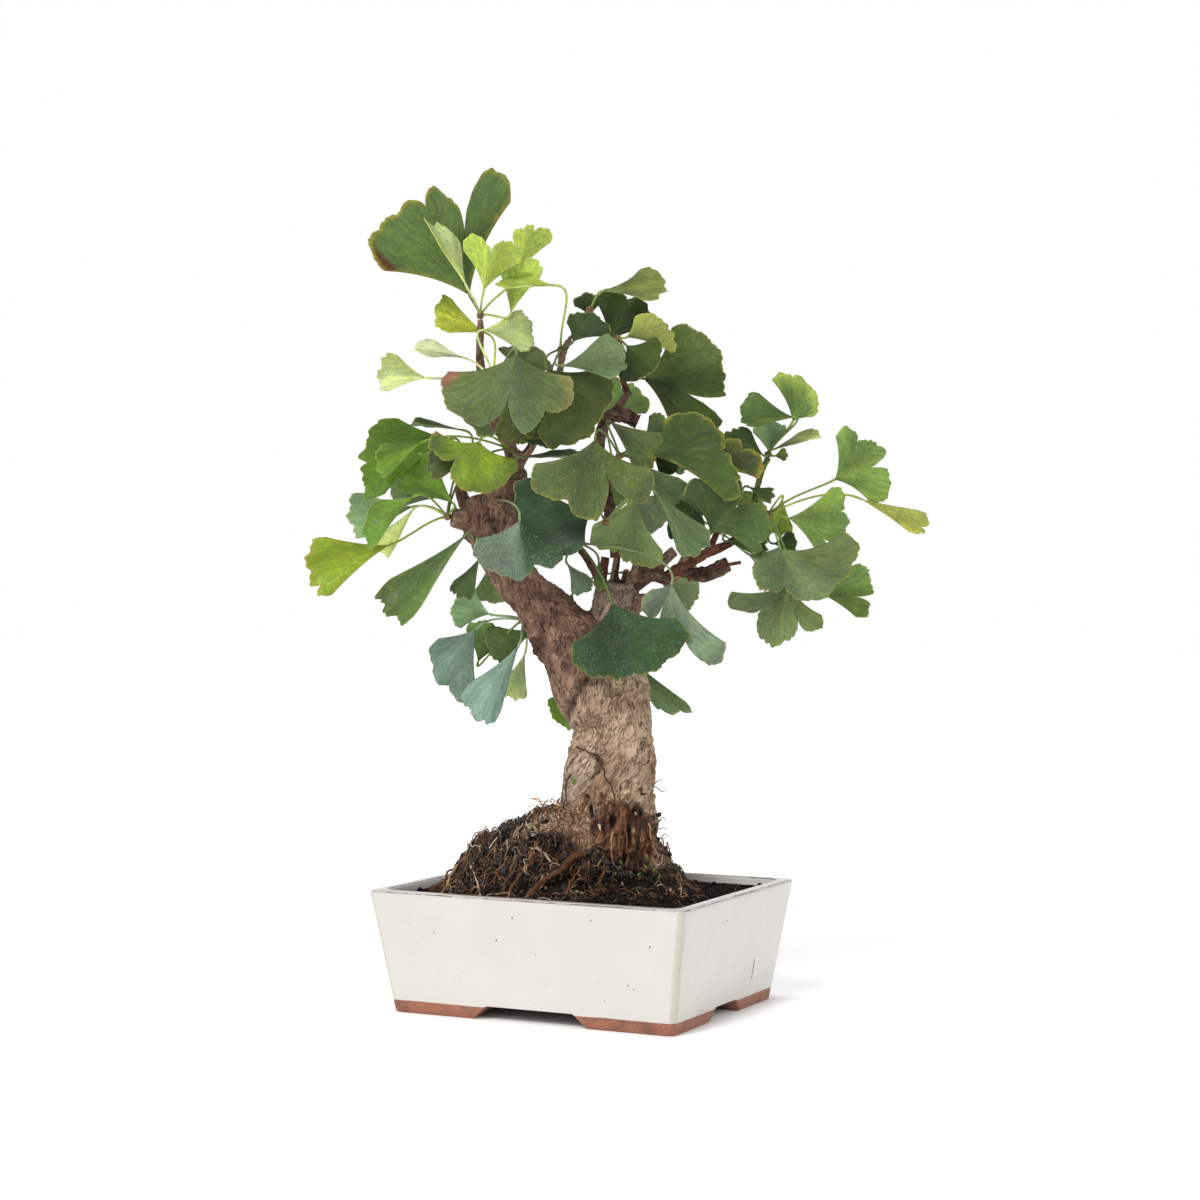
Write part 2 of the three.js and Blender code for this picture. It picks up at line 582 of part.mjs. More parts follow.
const BLADE_STEPS = { least: 8, millimetres: 8, most: 12 };
const CUT_WIDTH = 0.26;
const CUT_SAMPLES = [-0.8, -0.2, 0, 0.2, 0.8];
const BLADE_START = 0.03;
const PETIOLE_STEP = 16;
const CORNERS = [[-1, 1], [1, 1], [1, -1], [-1, -1]].map((corner) => corner.map((x) => x * Math.SQRT1_2));

function leafFrame(row) {
  const [u, v, z, aim, nod, size, fan, roll, cup, bend, cuts, skew = 0] = row;
  const lean = radians(nod);
  const along = vector(
    Math.sin(radians(aim)) * Math.cos(lean),
    -Math.sin(lean),
    Math.cos(radians(aim)) * Math.cos(lean),
  );
  const face = vector(0, -1, 0).addScaledVector(along, -along.clone().dot(vector(0, -1, 0)));
  face.normalize().applyAxisAngle(along, radians(roll));
  const across = along.clone().cross(face);
  return { base: vector(u, v, z), along, face, across, size, fan: radians(fan), cup: radians(cup),
    bend: radians(bend), cuts, skew };
}

// Distance from base to margin, as a share of the leaf's size, at a place from -1 to 1 across the fan.
function margin(leaf, place) {
  const corner = Math.max(0, Math.abs(place) - 0.78) / 0.22;
  let reach = 1 - 0.06 * place ** 2 - 0.14 * corner ** 2;
  reach += 0.025 * Math.sin(9 * place + leaf.size) + 0.015 * Math.sin(23 * place + leaf.fan * 7);
  for (const [at, depth, width = CUT_WIDTH] of leaf.cuts) {
    reach -= depth * (1 - Math.min(1, Math.abs(place - at) / width) ** 0.5);
  }
  return reach * (1 + leaf.skew * place);
}

// A point of the blade's middle surface: place across the fan, and share of the way out to the margin.
function bladePoint(leaf, place, share) {
  const angle = place * leaf.fan / 2 * (0.62 + 0.38 * share ** 0.8);
  const distance = leaf.size * margin(leaf, place) * share;
  const out = distance * Math.cos(angle);
  const sideways = distance * Math.sin(angle);
  const valley = 0.12 * leaf.size;
  let lift = Math.sin(leaf.cup) * (Math.hypot(sideways, valley) - valley);
  lift += 0.035 * leaf.size * share ** 3 * Math.sin(5.2 * place + leaf.size);
  const turn = leaf.bend * out / leaf.size + 1e-6;
  const radius = out / turn;
  const point = leaf.base.clone();
  point.addScaledVector(leaf.along, radius * Math.sin(turn) + lift * Math.sin(turn));
  point.addScaledVector(leaf.face, -radius * (1 - Math.cos(turn)) + lift * Math.cos(turn));
  point.addScaledVector(leaf.across, sideways * Math.cos(leaf.cup));
  return point;
}

function bladeNormal(leaf, place, share) {
  const step = 0.02;
  const a = bladePoint(leaf, place + step, share).sub(bladePoint(leaf, place - step, share));
  const b = bladePoint(leaf, place, share + step).sub(bladePoint(leaf, place, Math.max(0.005, share - step)));
  return a.cross(b).normalize();
}

// Places of the margin's points: even steps, with the cuts' bottoms and shoulders put in between.
function marginPlaces(leaf) {
  const special = leaf.cuts.flatMap(([at, , width = CUT_WIDTH]) => (
    CUT_SAMPLES.map((share) => at + share * width)
  ));
  const even = [];
  const { least, millimetres, most } = BLADE_STEPS;
  const steps = THREE.MathUtils.clamp(2 * Math.round(leaf.size / millimetres), least, most);
  for (let i = 0; i <= steps; i += 1) {
    even.push(i / steps * 2 - 1);
  }
  const kept = even.filter((place) => special.every((other) => Math.abs(place - other) > 0.07));
  return [...kept, ...special].filter((place) => Math.abs(place) <= 1).sort((a, b) => a - b);
}

// Rings of four points down the petiole, from the blade's base back to the spur bud. It arches up a
// little on its way, and its section keeps turning with the blade's.
function petioleRings(leaf, spur) {
  const start = vector(...spur);
  const length = start.distanceTo(leaf.base);
  const first = start.clone().lerp(leaf.base, 0.35).add(vector(0, 0, 0.12 * length));
  const second = leaf.base.clone().addScaledVector(leaf.along, -0.3 * length);
  const curve = new THREE.CubicBezierCurve3(start, first, second, leaf.base);
  const steps = Math.max(2, Math.min(4, Math.round(length / PETIOLE_STEP)));
  const side = leaf.across.clone();
  const rings = [];
  for (let step = steps; step >= 0; step -= 1) {
    const centre = curve.getPoint(step / steps);
    const along = curve.getTangent(step / steps);
    side.addScaledVector(along, -side.dot(along)).normalize();
    const face = side.clone().cross(along);
    const ring = CORNERS.map(([sideways, forward]) => centre.clone()
      .addScaledVector(side, sideways * PETIOLE_RADIUS)
      .addScaledVector(face, forward * PETIOLE_RADIUS));
    rings.unshift(ring);
  }
  return rings;
}

// A leaf is one skin: petiole, then the blade's two faces, split into triangles alike, and its margin.
function leafSolid(leaf, spur) {
  const outer = marginPlaces(leaf);
  const inner = outer.filter((_, i) => i % 2 === 0 || i === outer.length - 1);
  const rows = [
    { share: BLADE_START, places: [-1, 1] },
    { share: 0.5, places: inner },
    { share: 1, places: outer },
  ];
  const front = [];
  const back = [];
  const starts = [];
  for (const { share, places } of rows) {
    starts.push(front.length);
    for (const place of places) {
      const centre = bladePoint(leaf, place, share);
      const normal = bladeNormal(leaf, place, share).multiplyScalar(BLADE_THICKNESS / 2);
      front.push(centre.clone().add(normal));
      back.push(centre.clone().sub(normal));
    }
  }
  const flat = [];
  for (let r = 0; r + 1 < rows.length; r += 1) {
    flat.push(...stitch(rows[r].places, starts[r], rows[r + 1].places, starts[r + 1]));
  }
  const count = front.length;
  const faces = [];
  for (const [a, b, c] of flat) {
    faces.push([a, c, b], [a + count, b + count, c + count]);
  }
  const rim = rimOf(rows, starts);
  for (let i = 0; i + 1 < rim.length; i += 1) {
    const a = rim[i];
    const b = rim[i + 1];
    faces.push([a, b, a + count], [b, b + count, a + count]);
  }
  const rings = petioleRings(leaf, spur);
  const points = [...front, ...back, ...rings.flat()];
  const chain = rings.map((_, r) => CORNERS.map((_corner, i) => 2 * count + 4 * r + i));
  chain.push([0, 1, 1 + count, count]);
  for (let r = 0; r + 1 < chain.length; r += 1) {
    for (let i = 0; i < 4; i += 1) {
      const next = (i + 1) % 4;
      const [a, b, c, d] = [chain[r][i], chain[r][next], chain[r + 1][next], chain[r + 1][i]];
      faces.push([a, b, c], [a, c, d]);
    }
  }
  const [p, q, r, t] = chain[0];
  faces.push([p, r, q], [p, t, r]);
  return solidOf(indexed(points, faces));
}

// Triangles between two rows of places that both run from -1 to 1.
function stitch(near, nearStart, far, farStart) {
  const faces = [];
  let i = 0;
  let j = 0;
  while (i + 1 < near.length || j + 1 < far.length) {
    const nearNext = i + 1 < near.length ? near[i + 1] : Infinity;
    const farNext = j + 1 < far.length ? far[j + 1] : Infinity;
    if (farNext <= nearNext) {
      faces.push([nearStart + i, farStart + j, farStart + j + 1]);
      j += 1;
    } else {
      faces.push([nearStart + i, farStart + j, nearStart + i + 1]);
      i += 1;
    }
  }
  return faces;
}

function rimOf(rows, starts) {
  const last = rows.length - 1;
  const rim = [];
  for (let r = 0; r < last; r += 1) {
    rim.push(starts[r]);
  }
  for (let i = 0; i < rows[last].places.length; i += 1) {
    rim.push(starts[last] + i);
  }
  for (let r = last - 1; r >= 0; r -= 1) {
    rim.push(starts[r] + rows[r].places.length - 1);
  }
  return rim;
}

function spray({ spur, leaves }) {
  const pieces = [knot(spur, KNOT_RADIUS)];
  for (const row of leaves) {
    pieces.push(leafSolid(leafFrame(row), spur));
  }
  return join(pieces);
}

// ---------------------------------------------------------------- group
const group = new THREE.Group();
const tree = new THREE.Group();
tree.rotation.z = radians(TREE_TURN);
group.add(tree);

function add(parent, name, solid, colour, roughness) {
  const material = new THREE.MeshStandardMaterial({ color: COLOURS[colour], roughness, metalness: 0 });
  const mesh = new THREE.Mesh(geometryOf(solid), material);
  mesh.name = name;
  parent.add(mesh);
}

add(group, "pot", pot(), "glaze", 0.25);
add(group, "drain_mesh_left", drainMesh(-1), "mesh", 0.6);
add(group, "drain_mesh_right", drainMesh(1), "mesh", 0.6);
add(group, "soil", soil(), "soil", 1);
add(tree, "trunk", wood(), "bark", 0.85);
for (const row of SPRAYS) {
  add(tree, row.name, spray(row), row.tone, 0.6);
}

const bounds = new THREE.Box3().setFromObject(group, true);
const centre = bounds.getCenter(vector(0, 0, 0));
group.position.set(-centre.x, -centre.y, -bounds.min.z);

export default group;
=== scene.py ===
# Looks of the ginkgo bonsai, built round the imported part. Metres, in the row's frame.
# The tree is laid out in millimetres in its own frame, as in part.mjs: u across, v back, z up, from the
# middle of the pot on the ground, turned TREE_TURN about Z.
import math

import bmesh
import bpy
import numpy as np
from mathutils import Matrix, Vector


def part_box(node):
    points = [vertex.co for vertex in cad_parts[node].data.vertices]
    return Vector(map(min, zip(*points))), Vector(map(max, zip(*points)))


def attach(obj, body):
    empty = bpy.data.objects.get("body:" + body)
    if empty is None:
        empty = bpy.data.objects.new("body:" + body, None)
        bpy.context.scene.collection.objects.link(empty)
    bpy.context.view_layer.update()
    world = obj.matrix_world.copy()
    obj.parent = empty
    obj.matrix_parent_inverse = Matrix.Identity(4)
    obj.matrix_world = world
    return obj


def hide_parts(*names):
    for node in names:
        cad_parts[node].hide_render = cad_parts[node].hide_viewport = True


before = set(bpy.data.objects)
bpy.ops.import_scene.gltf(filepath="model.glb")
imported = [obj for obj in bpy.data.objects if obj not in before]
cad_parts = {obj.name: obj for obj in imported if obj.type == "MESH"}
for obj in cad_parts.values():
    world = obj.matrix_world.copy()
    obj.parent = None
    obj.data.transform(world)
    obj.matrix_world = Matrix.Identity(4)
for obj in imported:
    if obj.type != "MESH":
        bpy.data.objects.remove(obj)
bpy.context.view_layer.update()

MM = 0.001
TREE_TURN = math.radians(26.5)
POT_LOW, POT_HIGH = (np.array(corner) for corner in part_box("pot"))
POT_AT = np.array([(POT_LOW[0] + POT_HIGH[0]) / 2, (POT_LOW[1] + POT_HIGH[1]) / 2, 0.0])
POT = {"length": 200, "depth": 160, "height": 71, "taper": 11, "corner": 4.5, "inner_corner": 8, "wall": 7.5,
       "floor": 16, "lip": 2.6, "foot": 12, "arch": 8}


def vec(*numbers):
    return np.array(numbers, float)


def unit(v):
    return v / np.maximum(np.linalg.norm(v, axis=-1, keepdims=True), 1e-12)


def to_pot(u, v):
    """From the tree's directions to the pot's."""
    return u * math.cos(TREE_TURN) - v * math.sin(TREE_TURN), u * math.sin(TREE_TURN) + v * math.cos(TREE_TURN)


def to_row(points, turned=True):
    """Millimetres from the pot's middle, in the tree's or the pot's own directions, to the row's metres."""
    points = np.asarray(points, float)
    x, y = points[..., 0], points[..., 1]
    if turned:
        x, y = to_pot(x, y)
    return np.stack([x, y, points[..., 2]], -1) * MM + POT_AT


def placed(name, data):
    """A new object in the scene."""
    made = bpy.data.objects.new(name, data)
    bpy.context.scene.collection.objects.link(made)
    return made


def placed_mesh(name, points, faces):
    mesh = bpy.data.meshes.new(name)
    mesh.from_pydata(points, [], faces)
    return placed(name, mesh)


# ---------------------------------------------------------------- camera and light
CAMERA_AT, CAMERA_YAW, CAMERA_PITCH = (657.3, -1298.8, 254.0), 26.496, -0.667
LENS, SENSOR = 74.74, 36
# strength of the white surroundings: full up to the first height of the direction, OVERHEAD above the second
SKY_FADE, OVERHEAD = (0.27, 0.6), 0.42
SUN_FROM, SUN_STRENGTH, SUN_SPREAD = (-0.5, -0.75, 0.85), 1.7, 22


def camera_and_light():
    scene = bpy.context.scene
    yaw, pitch = math.radians(CAMERA_YAW), math.radians(CAMERA_PITCH)
    data = bpy.data.cameras.new("camera")
    data.sensor_width, data.lens, data.clip_end = SENSOR, LENS, 20
    camera = placed("camera", data)
    camera.location = to_row(CAMERA_AT, turned=False)
    ahead = Vector((-math.sin(yaw) * math.cos(pitch), math.cos(yaw) * math.cos(pitch), math.sin(pitch)))
    camera.rotation_euler = ahead.to_track_quat("-Z", "Y").to_euler()
    scene.camera = camera
    scene.view_settings.view_transform = "Standard"

    # white all round at the camera's height, greyer overhead, and a broad sun from the upper left front
    world = bpy.data.worlds.new("studio")
    world.use_nodes = True
    nodes, links = world.node_tree.nodes, world.node_tree.links
    background = nodes["Background"]
    background.inputs["Color"].default_value = (1, 1, 1, 1)
    towards = nodes.new("ShaderNodeTexCoord")
    split = nodes.new("ShaderNodeSeparateXYZ")
    fade = nodes.new("ShaderNodeMapRange")
    fade.interpolation_type = "SMOOTHSTEP"
    for socket, value in zip(("From Min", "From Max", "To Min", "To Max"), (*SKY_FADE, 1.0, OVERHEAD)):
        fade.inputs[socket].default_value = value
    links.new(towards.outputs["Generated"], split.inputs[0])
    links.new(split.outputs["Z"], fade.inputs["Value"])
    links.new(fade.outputs["Result"], background.inputs["Strength"])
    scene.world = world
    light = bpy.data.lights.new("key", "SUN")
    light.energy, light.angle = SUN_STRENGTH, math.radians(SUN_SPREAD)
    aim = Vector(to_row(vec(0, 0, 0)) - to_row(SUN_FROM))
    placed("key", light).rotation_euler = aim.to_track_quat("-Z", "Y").to_euler()


# ---------------------------------------------------------------- noise
PERMUTED = np.random.default_rng(7).permutation(256)
LATTICE = np.random.default_rng(8).uniform(-1, 1, 256)


def noise(p, seed=0):
    """Smooth value noise of unit cells at points p, from -1 to 1."""
    cell = np.floor(p).astype(int)
    f = p - cell
    f = f * f * f * (f * (f * 6 - 15) + 10)
    total = 0.0
    for corner in range(8):
        bits = [(corner >> axis) & 1 for axis in range(3)]
        code = seed * 17
        for axis in range(3):
            code = PERMUTED[(code + cell[..., axis] + bits[axis]) & 255]
        weight = 1.0
        for axis in range(3):
            weight = weight * (f[..., axis] if bits[axis] else 1 - f[..., axis])
        total = total + weight * LATTICE[code]
    return total


def fractal(p, octaves=3, seed=0):
    return sum(noise(p * 2.03**i, seed + i) * 0.5**i for i in range(octaves))


def smooth(low, high, x):
    t = np.clip((x - low) / (high - low), 0, 1)
    return t * t * (3 - 2 * t)


def mix(a, b, share):
    """Between two colours, or arrays of them, by a share for each point."""
    return a + (b - a) * np.asarray(share, float)[..., None]


def colour(*srgb):
    """A colour given as 0 to 255, in linear light."""
    c = np.array(srgb, float) / 255
    return np.where(c <= 0.04045, c / 12.92, ((c + 0.055) / 1.055) ** 2.4)


def between(low, high, share):
    """Between two colours given as 0 to 255, by a share for each point."""
    return mix(colour(*low), colour(*high), share)


def leafy(*srgb):
    """The colour of a leaf's flesh that looks like this in daylight, under its sheen."""
    return np.maximum((colour(*srgb) - 0.012) / 1.03, 0.004)


# ---------------------------------------------------------------- meshes
class Mesh:
    """Gathers points, faces and values per point, then makes one piece of them."""

    def __init__(self, name, **sizes):
        self.name, self.sizes = name, sizes
        self.points, self.faces = [], []
        self.values = {key: [] for key in sizes}
        self.count = 0

    def add(self, points, faces, **values):
        points = np.asarray(points, float).reshape(-1, 3)
        self.points.append(points)
        self.faces += [[i + self.count for i in face] for face in np.asarray(faces, object).tolist()]
        for key, size in self.sizes.items():
            given = np.asarray(values.get(key, np.zeros(size)), float)
            self.values[key].append(np.broadcast_to(given, (len(points), size)))
        self.count += len(points)

    def build(self, material, turned=True, replaces=()):
        mesh = bpy.data.meshes.new(self.name)
        mesh.from_pydata(to_row(np.concatenate(self.points), turned), [], self.faces)
        for key, size in self.sizes.items():
            values = np.concatenate(self.values[key])
            put(mesh, key, values if size == 3 else values[:, 0])
        finish_piece(mesh, material, replaces)


def put(mesh, name, values):
    """Gives each point of the mesh a number or a vector of its own."""
    values = np.asarray(values, float)
    kind, key = ("FLOAT_VECTOR", "vector") if values.ndim == 2 else ("FLOAT", "value")
    mesh.attributes.new(name, kind, "POINT").data.foreach_set(key, values.ravel())


def points_of(mesh, key="co"):
    values = np.zeros(len(mesh.vertices) * 3)
    mesh.vertices.foreach_get(key, values)
    return values.reshape(-1, 3)


def applied(thing, name):
    """The mesh of an object with its modifiers applied; the object itself goes."""
    depsgraph = bpy.context.evaluated_depsgraph_get()
    mesh = bpy.data.meshes.new_from_object(thing.evaluated_get(depsgraph))
    bpy.data.objects.remove(thing)
    mesh.name = name
    return mesh


def finish_piece(mesh, material, replaces=(), sharp=None):
    """Makes the mesh a piece of the object, with smooth faces that may break at angles over `sharp` degrees."""
    piece = placed(mesh.name, mesh)
    mesh.materials.append(material)
    mesh.polygons.foreach_set("use_smooth", [True] * len(mesh.polygons))
    if sharp:
        mesh.set_sharp_from_angle(angle=math.radians(sharp))
    mesh.update()
    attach(piece, "root")
    if replaces:
        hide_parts(*replaces)


def tube_faces(rings, sides, start=0):
    r, i = np.meshgrid(np.arange(rings - 1), np.arange(sides), indexing="ij")
    a = start + r * sides + i
    b = start + r * sides + (i + 1) % sides
    return np.stack([a, b, b + sides, a + sides], -1).reshape(-1, 4).tolist()


def catmull(stations, places):
    """Centripetal Catmull-Rom through the stations, at places counted in spans. Gives points and tangents."""
    p = [vec(*s[:3]) for s in stations]
    p = [2 * p[0] - p[1], *p, 2 * p[-1] - p[-2]]
    points, tangents = [], []
    for place in places:
        i = min(int(place), len(stations) - 2)
        w = place - i
        p0, p1, p2, p3 = p[i : i + 4]
        d0, d1, d2 = (max(np.linalg.norm(b - a), 1e-6) ** 0.5 for a, b in ((p0, p1), (p1, p2), (p2, p3)))
        t1 = ((p1 - p0) / d0 - (p2 - p0) / (d0 + d1) + (p2 - p1) / d1) * d1
        t2 = ((p2 - p1) / d1 - (p3 - p1) / (d1 + d2) + (p3 - p2) / d2) * d1
        c2, c3 = -3 * p1 + 3 * p2 - 2 * t1 - t2, 2 * p1 - 2 * p2 + t1 + t2
        points.append(p1 + t1 * w + c2 * w * w + c3 * w**3)
        tangents.append(t1 + 2 * c2 * w + 3 * c3 * w * w)
    return np.array(points), unit(np.array(tangents))


def carried(tangents):
    """A side direction carried along a line, square to it everywhere, and its partner."""
    side = vec(1, 0, 0)
    sides = []
    for along in tangents:
        side = side - along * side.dot(along)
        if np.linalg.norm(side) < 0.1:
            side = vec(0, 1, 0) - along * along[1]
        side = side / np.linalg.norm(side)
        sides.append(side)
    sides = np.array(sides)
    return sides, np.cross(tangents, sides)


def swept(centres, tangents, radii, count, shape=1):
    """Rings of `count` points round a line, as an array of rings by points; shape scales each point's reach."""
    side, other = carried(tangents)
    angle = np.linspace(0, 2 * math.pi, count, endpoint=False)
    reach = radii[:, None] * shape
    rings = centres[:, None] + side[:, None] * (reach * np.cos(angle))[..., None]
    return rings + other[:, None] * (reach * np.sin(angle))[..., None]


def capped(rings):
    """Points and faces of a tube with a fan at each end."""
    count, sides = rings.shape[:2]
    points = np.concatenate([rings.reshape(-1, 3), rings[0].mean(0)[None], rings[-1].mean(0)[None]])
    faces = tube_faces(count, sides)
    last = (count - 1) * sides
    for i in range(sides):
        j = (i + 1) % sides
        faces.append([count * sides, j, i])
        faces.append([count * sides + 1, last + i, last + j])
    return points, faces


def ball(level):
    """Points and triangles of a unit icosphere."""
    made = bmesh.new()
    bmesh.ops.create_icosphere(made, subdivisions=level, radius=1)
    made.verts.index_update()
    points = np.array([v.co[:] for v in made.verts])
    faces = [[v.index for v in f.verts] for f in made.faces]
    made.free()
    return points, faces


# ---------------------------------------------------------------- materials
class Field:
    """A value that varies over a surface. Reckoning with it makes Math nodes."""

    def __init__(self, look, socket):
        self.look, self.socket = look, socket

    def __add__(self, other):
        return self.look.math("ADD", self, other)

    def __sub__(self, other):
        return self.look.math("SUBTRACT", self, other)

    def __mul__(self, other):
        return self.look.math("MULTIPLY", self, other)

    def __truediv__(self, other):
        return self.look.math("DIVIDE", self, other)

    def __lt__(self, other):
        return self.look.math("LESS_THAN", self, other)

    def __gt__(self, other):
        return self.look.math("GREATER_THAN", self, other)

    def __abs__(self):
        return self.look.math("ABSOLUTE", self)


class Look:
    """A procedural material, written node by node."""

    def __init__(self, name, **fixed):
        self.material = bpy.data.materials.new(name)
        self.material.use_nodes = True
        self.tree = self.material.node_tree
        self.shader = self.tree.nodes["Principled BSDF"]
        for socket, value in fixed.items():
            self.shader.inputs[socket.replace("_", " ")].default_value = value

    def node(self, kind, inputs=(), output=0, **settings):
        """Makes a node and gives one of its outputs."""
        made = self.tree.nodes.new("ShaderNode" + kind)
        for key, value in settings.items():
            setattr(made, key, value)
        for key, value in dict(inputs).items():
            if isinstance(value, Field):
                self.tree.links.new(value.socket, made.inputs[key])
            else:
                made.inputs[key].default_value = value
        return Field(self, made.outputs[output])

    def value(self, name, output="Fac"):
        return self.node("Attribute", (), output, attribute_name=name)

    def math(self, operation, *inputs):
        return self.node("Math", enumerate(inputs), operation=operation)

    def larger(self, a, b):
        return self.math("MAXIMUM", a, b)

    def axes(self, vector):
        return [Field(self, socket) for socket in self.node("SeparateXYZ", {0: vector}).socket.node.outputs]

    def place(self):
        """Coordinates in millimetres."""
        return self.node("Mapping", {"Vector": self.node("TexCoord", (), "Object"), "Scale": (1 / MM,) * 3})

    def noise(self, size, vector, detail=3.0, rough=0.55):
        inputs = {"Scale": 1 / size, "Detail": detail, "Roughness": rough, "Vector": vector}
        return self.node("TexNoise", inputs, "Fac")

    def cells(self, size, vector, output="Distance"):
        return self.node("TexVoronoi", {"Scale": 1 / size, "Vector": vector}, output)

    def span(self, value, low, high, to_low=0.0, to_high=1.0):
        inputs = {"Value": value, "From Min": low, "From Max": high, "To Min": to_low, "To Max": to_high}
        return self.node("MapRange", inputs, "Result", interpolation_type="SMOOTHSTEP")

    def blend(self, factor, a, b, mode="MIX"):
        a, b = (c if isinstance(c, Field) else (*c, 1) for c in (a, b))
        return self.node("Mix", {0: factor, 6: a, 7: b}, 2, data_type="RGBA", blend_type=mode)

    def times(self, tone, factors):
        return self.blend(1.0, tone, factors, "MULTIPLY")

    def scaled(self, tone, value):
        return self.node("VectorMath", {0: tone, "Scale": value}, operation="SCALE")

    def bump(self, height, distance):
        return self.node("Bump", {"Height": height, "Distance": distance * MM, "Strength": 1.0})

    def join(self, **sockets):
        for socket, value in sockets.items():
            self.tree.links.new(value.socket, self.shader.inputs[socket.replace("_", " ")])
        return self.material


# two worn lines along the rim: the radius of each at the pot's corners, and its distance from the outside
RIM_LINES = ((2.9, 0.7), (14.5, 6.7))
FOOT_BAND = 8.1
CRACK_AT, CRACK_SPAN = (80.0, 32.5, 23.0), (16.5, 19.0, 27.5, 29.5)


def glaze_look():
    """Thick ivory glaze with iron specks, worn lines along the rim and a crack; bare clay at the feet, with painted
    shade in the recess under the pot.
    """
    look = Look("glaze", Coat_Weight=0.35, Coat_Roughness=0.08, IOR=1.5)
    place = look.place()
    x, y, z = look.axes(place)
    x, y = x - float(POT_AT[0]) / MM, y - float(POT_AT[1]) / MM
    base = look.blend(look.noise(34, place, 2), colour(208, 205, 199), colour(196, 191, 184))
    thin = look.span(look.value("edge") + look.noise(5, place) * 0.3, 0.35, 0.8)
    base = look.blend(thin * 0.5, base, colour(176, 172, 148))
    worn = look.span(look.noise(16, place, 5, 0.7), 0.38, 0.62, -0.15, 0.35)
    at_top = look.span(z, POT["height"] - 1.4, POT["height"] - 0.7)
    for corner, inset in RIM_LINES:
        past_x = look.larger(abs(x) - (POT["length"] / 2 - corner), 0.0)
        past_y = look.larger(abs(y) - (POT["depth"] / 2 - corner), 0.0)
        off = abs(look.math("SQRT", past_x * past_x + past_y * past_y) + (inset - corner))
        line = look.span(off + worn, 0.6, 0.2) * at_top
        base = look.blend(line * 0.9, base, colour(84, 74, 64))
    some = look.node("TexWhiteNoise", {"Vector": look.cells(6, place, "Position")}, "Value")
    fleck = look.cells(6, place) < look.span(some, 0.55, 1.0, 0.0, 0.1)
    base = look.blend(fleck * 0.85, base, colour(72, 56, 42))
    tiny = (look.cells(2.4, place) < 0.1) * look.span(look.noise(20, place, 3), 0.52, 0.66)
    base = look.blend(tiny * 0.8, base, colour(78, 64, 52))
    wall_x, crack_y, crack_z = CRACK_AT
    low, low_full, high_full, high = CRACK_SPAN
    slant = (z - crack_z) * 0.06 + look.noise(2, place) * 1.4
    crack = look.span(abs(y - crack_y - slant), 0.75, 0.3)
    crack = crack * (look.span(z, low, low_full) * look.span(z, high, high_full)) * (x > wall_x)
    base = look.blend(crack, base, colour(52, 40, 32))
    # bare clay below a wavy edge; in the recess under the pot the bare clay is also painted much darker, as painted
    # shade
    recess_bare_and_shaded = look.value("recess_bare_and_shaded")
    bare = look.larger(look.span(z + look.noise(22, place) * 1.2, FOOT_BAND, FOOT_BAND - 0.4), recess_bare_and_shaded)
    sand = look.noise(1.1, place, 4)
    body = look.blend(look.span(sand, 0.3, 0.7), colour(134, 82, 60), colour(162, 104, 78))
    body = look.blend(look.span(look.noise(14, place), 0.45, 0.7), body, colour(112, 72, 54))
    # painted shade: the recess under the pot is painted dark brown
    body = look.blend(recess_bare_and_shaded * 0.8, body, colour(58, 42, 36))
    base = look.blend(bare, base, body)
    rough = look.larger(look.noise(9, place) * 0.16 + 0.16, bare * 0.85)
    height = look.noise(17, place, 1) + fleck * -0.3 - crack * 1.2 + sand * bare * 0.4
    return look.join(Base_Color=base, Roughness=rough, Normal=look.bump(height, 0.8))


def bark_look(name="bark", cracked=1.0):
    """Wood skin: its tone comes with the mesh, and cracks, fibres and flecks follow the stem's grain."""
    look = Look(name, Specular_IOR_Level=0.22)
    tone, grain, place = look.value("tone", "Color"), look.value("grain", "Vector"), look.place()
    wander = look.node("TexNoise", {"Vector": grain, "Scale": 0.12, "Detail": 1.0}, "Color")
    warped = look.node("VectorMath", {0: wander, 1: (5, 5, 2), 2: grain}, operation="MULTIPLY_ADD")

    def along(share):
        return look.node("Mapping", {"Vector": warped, "Scale": (1, 1, share)})

    def lines(size, share, wide):
        return look.span(abs(look.noise(size, along(share), 2.0, 0.5) - 0.5), wide, 0.0)

    fibre = look.noise(0.5, along(0.1), 4, 0.6)
    broad = look.noise(4.2, along(0.3), 3, 0.55)
    crack = lines(1.7, 0.14, 0.05) * look.span(look.noise(5, along(0.5), 3), 0.4, 0.56, 0.1, cracked)
    hair = lines(0.9, 0.18, 0.06) * look.span(look.noise(4, place, 2), 0.36, 0.56, 0.3, 0.9)
    fleck = look.span(look.cells(0.85, place), 0.32, 0.14) * look.span(look.noise(3, place, 3), 0.5, 0.64)
    base = look.scaled(tone, look.span(fibre, 0.32, 0.68, 0.84, 1.14) * look.span(broad, 0.36, 0.64, 0.93, 1.06))
    for share, factors in ((hair, (0.46, 0.4, 0.36)), (crack * 0.9, (0.2, 0.15, 0.13)),
                           (fleck * 0.6, (1.9, 1.9, 1.9))):
        base = look.blend(share, base, look.times(tone, factors))
    height = fibre * 0.6 + broad * 0.9 - (crack * 0.8 + hair * 0.3) + fleck * 0.3
    return look.join(Base_Color=base, Roughness=look.span(fibre, 0.3, 0.7, 0.74, 0.95), Normal=look.bump(height, 0.7))


